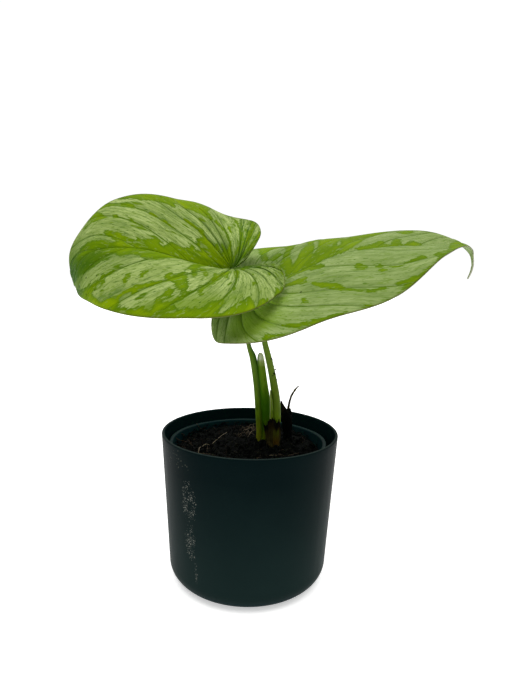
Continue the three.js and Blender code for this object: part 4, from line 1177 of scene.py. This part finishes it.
def blade(leaf, veins, greens, silvers, soft, seed):
    """The bent blade as one sheet, with its UV map and the fields that its finish reads."""
    stations = midrib(leaf)
    bm = bmesh.new()
    bmesh.ops.create_grid(bm, x_segments=ROUND_STEPS, y_segments=2 * OUT_STEPS, size=0.5)
    uv = bm.loops.layers.uv.new("veins")
    flat_uv = bm.loops.layers.uv.new("flat")
    greens, silvers = boxed(greens), boxed(silvers)
    flat = {}
    fields = {name: bm.verts.layers.float.new(name) for name in ("green", *soft, "spread")}
    grid = {v: (v.co.x + 0.5, 2 * v.co.y) for v in bm.verts}
    for v, (a, s) in grid.items():
        side = 1 if s > 0 else -1
        b = abs(s) ** OUT_POWER
        x, y = heart(leaf, a, b, side)
        to_tip = min(max((x / leaf["length"] - DRIP["from"]) / DRIP["over"], 0), 1)
        y *= 1 - DRIP["narrowed"] * to_tip * to_tip * (3 - 2 * to_tip)
        place, normal = bend(leaf, stations, x, y if abs(y) > 1e-6 else 1e-6)
        phase = phase_at(veins[side], a)
        swell = abs(math.sin(math.pi * phase)) ** 0.6 * math.sin(math.pi * min(b, 1)) ** 0.6
        slow = noise.noise(Vector((x, y, seed * 50)) * 0.035)
        ripple = b ** 5 * math.sin(phase * 2.2 + seed)
        v.co = (place + normal * (QUILT * swell + 0.7 * slow * min(1, b * 3) + 0.5 * ripple)) * MM
        flat[v] = (x, y)
        v[fields["green"]] = min(depth_in(greens, x, y), -depth_in(silvers, x, y))
        for field, spots in soft.items():
            v[fields[field]] = sum_of(spots, x, y)
        before, after = max(a - NUDGE, 0), min(a + NUDGE, 1)
        (x1, y1), (x2, y2) = (heart(leaf, beside, b, side) for beside in (before, after))
        counted = phase_at(veins[side], after) - phase_at(veins[side], before)
        v[fields["spread"]] = math.hypot(x2 - x1, y2 - y1) / counted
    for face in bm.faces:
        way = 1 if sum(grid[v][1] for v in face.verts) > 0 else -1
        for loop in face.loops:
            a, s = grid[loop.vert]
            loop[uv].uv = (phase_at(veins[way], a), s and math.copysign(abs(s) ** OUT_POWER, s))
            loop[flat_uv].uv = flat[loop.vert]
    bmesh.ops.remove_doubles(bm, verts=bm.verts, dist=1e-8)
    return bm


# %% [markdown]
# The upper face is satin and leathery. Silver comes from air under the outer skin, so it is paler
# and duller than the green. Dark green lines follow the main veins, and fine lines lie five to a
# band between them. All widths are in millimetres: the blade's spread field turns the vein count
# back to a distance.

# %% Leaf finish, upper face


def from_vein(tree, count, per_band, spread):
    """Distance in mm to the nearest of so many lines a band, where the spread is a band's width."""
    near = add(tree, "Math", {0: count, 1: 0.5 / per_band}, operation="PINGPONG")
    return add(tree, "Math", {0: near, 1: spread}, operation="MULTIPLY")


def leaf_finish(name, seed, *, silvers, half_tone, limes, green_tone, vein_green, vein_in_silver, halo,
                sprinkle, line, tip, specks):
    """The upper face of a blade, drawn in its vein count and the way out along the veins.

    The silvers are its dull, common and bright tones, the half tone lies between silver and green, and
    the limes are its yellowest and its common one. The halo is the width in mm of the green beside a
    main vein, the sprinkle is how rare stray blotches are, and the line is how strong the main veins
    are drawn. The tip dries pale between two distances along the midrib in mm, and the specks are dark
    dots as x, y and radius in mm.
    """
    material, tree = new_finish(name)
    veins = add(tree, "UVMap", uv_map="veins")
    at = add(tree, "SeparateXYZ", {0: veins})
    flat = add(tree, "UVMap", uv_map="flat")
    green = add(tree, "Attribute", attribute_name="green").outputs["Fac"]
    deep = add(tree, "Attribute", attribute_name="deep").outputs["Fac"]
    veil = add(tree, "Attribute", attribute_name="veil").outputs["Fac"]
    spread = add(tree, "Attribute", attribute_name="spread").outputs["Fac"]
    out = add(tree, "Math", {0: at.outputs["Y"]}, operation="ABSOLUTE")

    def drawn(across, out, detail, rough, layer=0.0):
        """Noise stretched along the veins: cells per band across, and cells from midrib to margin."""
        x = add(tree, "Math", {0: at.outputs["X"], 1: across}, operation="MULTIPLY")
        y = add(tree, "Math", {0: at.outputs["Y"], 1: out}, operation="MULTIPLY")
        where = add(tree, "CombineXYZ", {0: x, 1: y, 2: seed + layer})
        return add(tree, "TexNoise", {"Vector": where, "Scale": 1.0, "Detail": detail, "Roughness": rough})

    feather = drawn(13.0, 6.0, 4.0, 0.65)
    coarse = drawn(4.5, 5.0, 3.0, 0.55, 3.0)
    patchy = drawn(1.6, 2.6, 2.0, 0.5, 9.0)
    mottle = drawn(15.0, 24.0, 3.0, 0.6, 51.0)
    sway = add(tree, "Math", {0: coarse, 1: 0.26, 2: at.outputs["X"]}, operation="MULTIPLY_ADD")

    main_away = from_vein(tree, at.outputs["X"], 1, spread)
    fine_away, lobe_away = (from_vein(tree, sway, per_band, spread) for per_band in (5, 2))
    in_lobe = add(tree, "MapRange", {"Value": at.outputs["X"], "From Min": 4.6, "From Max": 6.2,
                                     "To Min": 1.0, "To Max": 0.0})
    place = add(tree, "SeparateXYZ", {0: flat})
    ragged = add(tree, "Math", {0: feather, 1: coarse}, operation="ADD")
    ragged = add(tree, "Math", {0: ragged, 1: 1.0}, operation="SUBTRACT")
    toothed = add(tree, "Math", {0: drawn(20.0, 26.0, 2.0, 0.6, 31.0), 1: 1.0, 2: ragged},
                  operation="MULTIPLY_ADD")
    toothed = add(tree, "Math", {0: toothed, 1: 0.42}, operation="SUBTRACT")
    edge = add(tree, "Math", {0: toothed, 1: 4.0, 2: green}, operation="MULTIPLY_ADD")
    by_root = add(tree, "MapRange", {"Value": out, "From Max": 0.4, "To Min": halo + 0.7,
                                     "To Max": halo})
    halo_share = add(tree, "MapRange", {"Value": patchy, "From Min": 0.35, "From Max": 0.68})
    halo_room = add(tree, "Math", {0: halo_share, 1: by_root}, operation="MULTIPLY")
    beside = add(tree, "Math", {0: halo_room, 1: main_away}, operation="SUBTRACT")
    halo_edge = add(tree, "Math", {0: ragged, 1: 3.2, 2: beside}, operation="MULTIPLY_ADD")
    sprinkled = add(tree, "Math", {0: in_lobe, 1: 0.12, 2: drawn(3.0, 6.5, 2.0, 0.5, 21.0)},
                    operation="MULTIPLY_ADD")
    stray = add(tree, "Math", {0: sprinkled, 1: sprinkle}, operation="SUBTRACT")
    stray_edge = add(tree, "Math", {0: stray, 1: 7.0, 2: ragged}, operation="MULTIPLY_ADD")
    both = add(tree, "Math", {0: edge, 1: halo_edge}, operation="MAXIMUM")
    all_green = add(tree, "Math", {0: both, 1: stray_edge}, operation="MAXIMUM")
    is_green = add(tree, "MapRange", {"Value": all_green, "From Min": -0.3, "From Max": 0.2})
    rim_of_green = add(tree, "MapRange", {"Value": all_green, "From Min": 0.2, "From Max": 2.4,
                                          "To Min": 0.5, "To Max": 0.0})

    silver_mix = add(tree, "Math", {0: coarse, 1: patchy}, operation="ADD")
    silver_mix = add(tree, "Math", {0: mottle, 1: 0.7, 2: silver_mix}, operation="MULTIPLY_ADD")
    silver_mix = add(tree, "Math", {0: silver_mix, 1: 0.37}, operation="MULTIPLY")
    silver = set_stops(add(tree, "ValToRGB", {0: silver_mix}), list(zip((0.37, 0.47, 0.61), silvers)))
    # Painted shade: the silver is dulled beside each main vein, where the quilted blade dips, and where the
    # deep field paints shade.
    painted_vein_shade = add(tree, "MapRange", {"Value": main_away, "From Min": 0.4, "From Max": 2.6, "To Min": 0.55,
                                       "To Max": 0.0})
    painted_shade_on_silver = add(tree, "Math", {0: deep, 1: painted_vein_shade}, operation="MAXIMUM")
    haze = add(tree, "MapRange", {"Value": drawn(9.0, 13.0, 3.0, 0.7, 61.0), "From Min": 0.55,
                                  "From Max": 0.61, "To Max": 0.6})
    silver_lines = add(tree, "MapRange", {"Value": fine_away, "From Min": 0.08, "From Max": 0.42,
                                          "To Min": 0.8, "To Max": 0.0})
    broken = add(tree, "MapRange", {"Value": mottle, "From Min": 0.3, "From Max": 0.55})
    thinned = add(tree, "Math", {0: silver_lines, 1: broken}, operation="MULTIPLY")
    veined = add(tree, "Math", {0: drawn(2.2, 5.0, 3.0, 0.6, 41.0), 1: 0.7, 2: veil},
                 operation="MULTIPLY_ADD")
    veined = add(tree, "MapRange", {"Value": veined, "From Min": 0.45, "From Max": 1.1, "To Max": 0.75})
    veined = add(tree, "Math", {0: veined, 1: veil}, operation="MULTIPLY")
    dashes = add(tree, "Math", {0: in_lobe, 1: 0.05, 2: drawn(14.0, 24.0, 2.0, 0.5, 5.0)},
                 operation="MULTIPLY_ADD")
    flecks = add(tree, "MapRange", {"Value": dashes, "From Min": 0.635, "From Max": 0.67, "To Max": 0.75})
    for share, tone in ((painted_shade_on_silver, silvers[0]), (haze, half_tone), (thinned, vein_in_silver),
                        (veined, limes[1]), (flecks, green_tone)):
        silver = add(tree, "Mix", {0: share, 6: silver, 7: tint(tone)}, data_type="RGBA")

    # The deep field darkens the green too, partly as deeper colour and partly as painted shade.
    darker = add(tree, "Math", {0: patchy, 1: 1.1, 2: deep}, operation="MULTIPLY_ADD")
    darker = add(tree, "Math", {0: coarse, 1: 0.7, 2: darker}, operation="MULTIPLY_ADD")
    darker = add(tree, "Math", {0: darker, 1: 0.5}, operation="MULTIPLY")
    leafy = add(tree, "ValToRGB", {0: darker})
    set_stops(leafy, [(0.36, limes[0]), (0.5, limes[1]), (0.85, green_tone)])
    green_lines = add(tree, "MapRange", {"Value": fine_away, "From Min": 0.05, "From Max": 0.45,
                                         "To Min": 0.22, "To Max": 0.0})
    cream = add(tree, "Math", {0: drawn(11.0, 26.0, 2.0, 0.5, 13.0), 1: coarse}, operation="ADD")
    cream_dots = add(tree, "MapRange", {"Value": cream, "From Min": 1.13, "From Max": 1.19, "To Max": 0.6})
    for share, tone in ((green_lines, vein_green), (cream_dots, silvers[1]), (rim_of_green, green_tone)):
        leafy = add(tree, "Mix", {0: share, 6: leafy, 7: tint(tone)}, data_type="RGBA")
    ground = add(tree, "Mix", {0: is_green, 6: silver, 7: leafy}, data_type="RGBA")

    line_tone = add(tree, "Mix", {0: is_green, 6: tint(vein_in_silver), 7: tint(vein_green)},
                    data_type="RGBA")
    wavering = add(tree, "Math", {0: feather, 1: 0.7, 2: main_away}, operation="MULTIPLY_ADD")
    vein_line = add(tree, "MapRange", {"Value": wavering, "From Min": 0.45, "To Min": line,
                                       "To Max": 0.0})
    fading = add(tree, "MapRange", {"Value": out, "From Min": 0.6, "To Min": 1.0, "To Max": 0.45})
    in_green = add(tree, "MapRange", {"Value": is_green, "To Min": 1.0, "To Max": 0.6})
    fading = add(tree, "Math", {0: fading, 1: in_green}, operation="MULTIPLY")
    vein_line = add(tree, "Math", {0: vein_line, 1: fading}, operation="MULTIPLY")
    lobe_wave = add(tree, "Math", {0: coarse, 1: 0.7, 2: lobe_away}, operation="MULTIPLY_ADD")
    lobe_line = add(tree, "MapRange", {"Value": lobe_wave, "From Min": 0.6, "To Min": line,
                                       "To Max": 0.0})
    lobe_line = add(tree, "Math", {0: lobe_line, 1: in_lobe}, operation="MULTIPLY")
    off_midrib = add(tree, "Math", {0: place.outputs["Y"]}, operation="ABSOLUTE")
    midrib_line = add(tree, "MapRange", {"Value": off_midrib, "From Min": 0.3, "From Max": 1.2,
                                         "To Min": 0.55, "To Max": 0.0})
    midrib_fade = add(tree, "MapRange", {"Value": place.outputs["X"], "From Min": 55.0, "From Max": 120.0,
                                         "To Min": 1.0, "To Max": 0.3})
    midrib_line = add(tree, "Math", {0: midrib_line, 1: midrib_fade}, operation="MULTIPLY")
    dark_line = add(tree, "Math", {0: vein_line, 1: lobe_line}, operation="MAXIMUM")
    dark_line = add(tree, "Math", {0: dark_line, 1: midrib_line}, operation="MAXIMUM")
    colour = add(tree, "Mix", {0: dark_line, 6: ground, 7: line_tone}, data_type="RGBA")
    # Painted shade: the deep field mixes the blade towards dark green where it turns away from the light.
    painted_shade_share = add(tree, "Math", {0: deep, 1: 0.45}, operation="MULTIPLY")
    dry_tip = add(tree, "MapRange", {"Value": place.outputs["X"], "From Min": tip[0], "From Max": tip[1],
                                     "To Max": 0.8})
    margin_line = add(tree, "MapRange", {"Value": out, "From Min": 0.98, "From Max": 0.994, "To Max": 0.6})
    for share, tone in ((painted_shade_share, "#24440c"), (dry_tip, "#b4b1a5"), (margin_line, "#545c20")):
        colour = add(tree, "Mix", {0: share, 6: colour, 7: tint(tone)}, data_type="RGBA")
    for x, y, radius in specks:
        off = add(tree, "VectorMath", {0: flat, 1: (x, y, 0)}, operation="DISTANCE")
        dot = add(tree, "MapRange", {"Value": off.outputs["Value"], "From Min": 0.6 * radius,
                                     "From Max": radius, "To Min": 0.85, "To Max": 0.0})
        colour = add(tree, "Mix", {0: dot, 6: colour, 7: tint("#2e3a18")}, data_type="RGBA")

    # Painted light: the bright field lifts the colour where the blade above shades the skin.
    bright = add(tree, "Attribute", attribute_name="bright").outputs["Fac"]
    lift = add(tree, "Math", {0: bright, 1: 2.0, 2: 1.0}, operation="MULTIPLY_ADD")
    colour = add(tree, "HueSaturation", {"Color": colour, "Value": lift})

    groove = add(tree, "MapRange", {"Value": main_away, "From Max": 1.3})
    small_groove = add(tree, "MapRange", {"Value": fine_away, "From Max": 0.5, "To Max": 0.15})
    relief = add(tree, "Math", {0: groove, 1: small_groove}, operation="ADD")
    cells = add(tree, "Math", {0: feather, 1: 0.4, 2: relief}, operation="MULTIPLY_ADD")
    sheen = add(tree, "MapRange", {"Value": feather, "To Min": 0.4, "To Max": 0.58})
    set_shader(tree, colour, sheen, (cells, 0.6, 0.6), {"IOR": 1.42, "Specular IOR Level": 0.015})
    return material


FRONT_SPECKS = [(112, 19, 0.9), (102, 22, 0.6), (105, 31, 0.8), (117.5, 28.5, 0.9), (57, -64.5, 0.9),
                (45, 12, 0.6), (1, -0.7, 1.2)]
BACK_SPECKS = [(40, -36.5, 1.0)]
front_upper = leaf_finish(
    "leaf_skin_front", 1.0, silvers=("#5f7837", "#83964f", "#a0b16c"), half_tone="#5c7a1a",
    limes=("#768f04", "#638002"), green_tone="#34580a", vein_green="#34560a", vein_in_silver="#3a5a18",
    halo=0.9, sprinkle=0.665, line=0.95, tip=(160, 170), specks=FRONT_SPECKS)
back_upper = leaf_finish(
    "leaf_skin_back", 7.0, silvers=("#657b3c", "#788c4d", "#8e9f63"), half_tone="#5f7c22",
    limes=("#6c8604", "#5c7804"), green_tone="#42640c", vein_green="#44641a", vein_in_silver="#587234",
    halo=0.5, sprinkle=0.78, line=0.8, tip=(182, 190), specks=BACK_SPECKS)

# %% [markdown]
# The underside is paler and matt, and its veins stand up as ribs. The thin cut edge of the blade is
# purple-brown, a line that shows all round the margin.

# %% Leaf finishes, underside and edge
under_finish, tree = new_finish("leaf_underside_pale")
veins = add(tree, "UVMap", uv_map="veins")
at = add(tree, "SeparateXYZ", {0: veins})
spread = add(tree, "Attribute", attribute_name="spread").outputs["Fac"]
green = add(tree, "Attribute", attribute_name="green").outputs["Fac"]
away, away_fine = (from_vein(tree, at.outputs["X"], per_band, spread) for per_band in (1, 8))
place = add(tree, "TexCoord").outputs["Object"]
mottle = add(tree, "TexNoise", {"Vector": place, "Scale": 90.0, "Detail": 5.0})
shows = add(tree, "MapRange", {"Value": green, "From Min": -1.5, "From Max": 1.5})
pale = add(tree, "Mix", {0: mottle, 6: tint("#7d9058"), 7: tint("#6d8346")}, data_type="RGBA")
shaded = add(tree, "Mix", {0: shows, 6: pale, 7: tint("#647f30")}, data_type="RGBA")
rib_line = add(tree, "MapRange", {"Value": away, "From Min": 0.25, "From Max": 0.9, "To Min": 0.7,
                                  "To Max": 0.0})
colour = add(tree, "Mix", {0: rib_line, 6: shaded, 7: tint("#94a45c")}, data_type="RGBA")
rib = add(tree, "MapRange", {"Value": away, "To Min": 1.0, "To Max": 0.0})
rib_fine = add(tree, "MapRange", {"Value": away_fine, "From Max": 0.35, "To Min": 0.3, "To Max": 0.0})
relief = add(tree, "Math", {0: rib, 1: rib_fine}, operation="ADD")
matt = add(tree, "MapRange", {"Value": mottle, "To Min": 0.5, "To Max": 0.68})
set_shader(tree, colour, matt, (relief, 0.6, 0.6), {"IOR": 1.42})

edge_finish, tree = new_finish("leaf_margin_purple_brown")
place = add(tree, "TexCoord").outputs["Object"]
mottle = add(tree, "TexNoise", {"Vector": place, "Scale": 120.0, "Detail": 3.0})
colour = add(tree, "Mix", {0: mottle, 6: tint("#4c4a2c"), 7: tint("#666838")}, data_type="RGBA")
set_shader(tree, colour, 0.5)

# %% Front and back leaf
for name, leaf, veins, greens, silvers, soft, upper_finish, seed in [
    ("front", FRONT_LEAF, FRONT_VEINS, FRONT_GREEN, [], FRONT_SOFT, front_upper, 1),
    ("back", BACK_LEAF, BACK_VEINS, BACK_GREEN, BACK_SILVER, BACK_SOFT, back_upper, 2),
]:
    form = blade(leaf, veins, greens, silvers, soft, seed)
    piece = new_piece(f"blade_{name}", form, upper_finish, under_finish, edge_finish,
                      node=f"leaf_{name}_blade", slot="blade")
    wall = piece.modifiers.new("thickness", "SOLIDIFY")
    wall.thickness = SHEET * MM
    wall.offset = 0
    wall.use_rim = True
    wall.material_offset = 1
    wall.material_offset_rim = 2

# %% [markdown]
# Under each blade the midrib stands out as a round rib. It carries on from the stalk and thins
# towards the tip.

# %% Midribs
RIB = {"share": 0.86, "radius": 1.6, "thins_by": 1.2, "every": 3}
rib_finish = stalk_finish("midrib_skin_pale_green", [(110, "#86964e"), (240, "#86964e")],
                          shade="#72843a", painted_side_tone="#7c8e44", side=90)
for name, leaf in (("front", FRONT_LEAF), ("back", BACK_LEAF)):
    stations = midrib(leaf)
    rows = []
    for k in range(0, math.floor(RIB["share"] * leaf["length"] / STATION), RIB["every"]):
        point, _, _, up = stations[k]
        radius = RIB["radius"] - RIB["thins_by"] * k * STATION / leaf["length"]
        rows.append([*(point - up * radius * 0.8), radius, radius])
    new_piece(f"midrib_{name}", stem(rows, sides=12, steps=3), rib_finish, slot="blade")
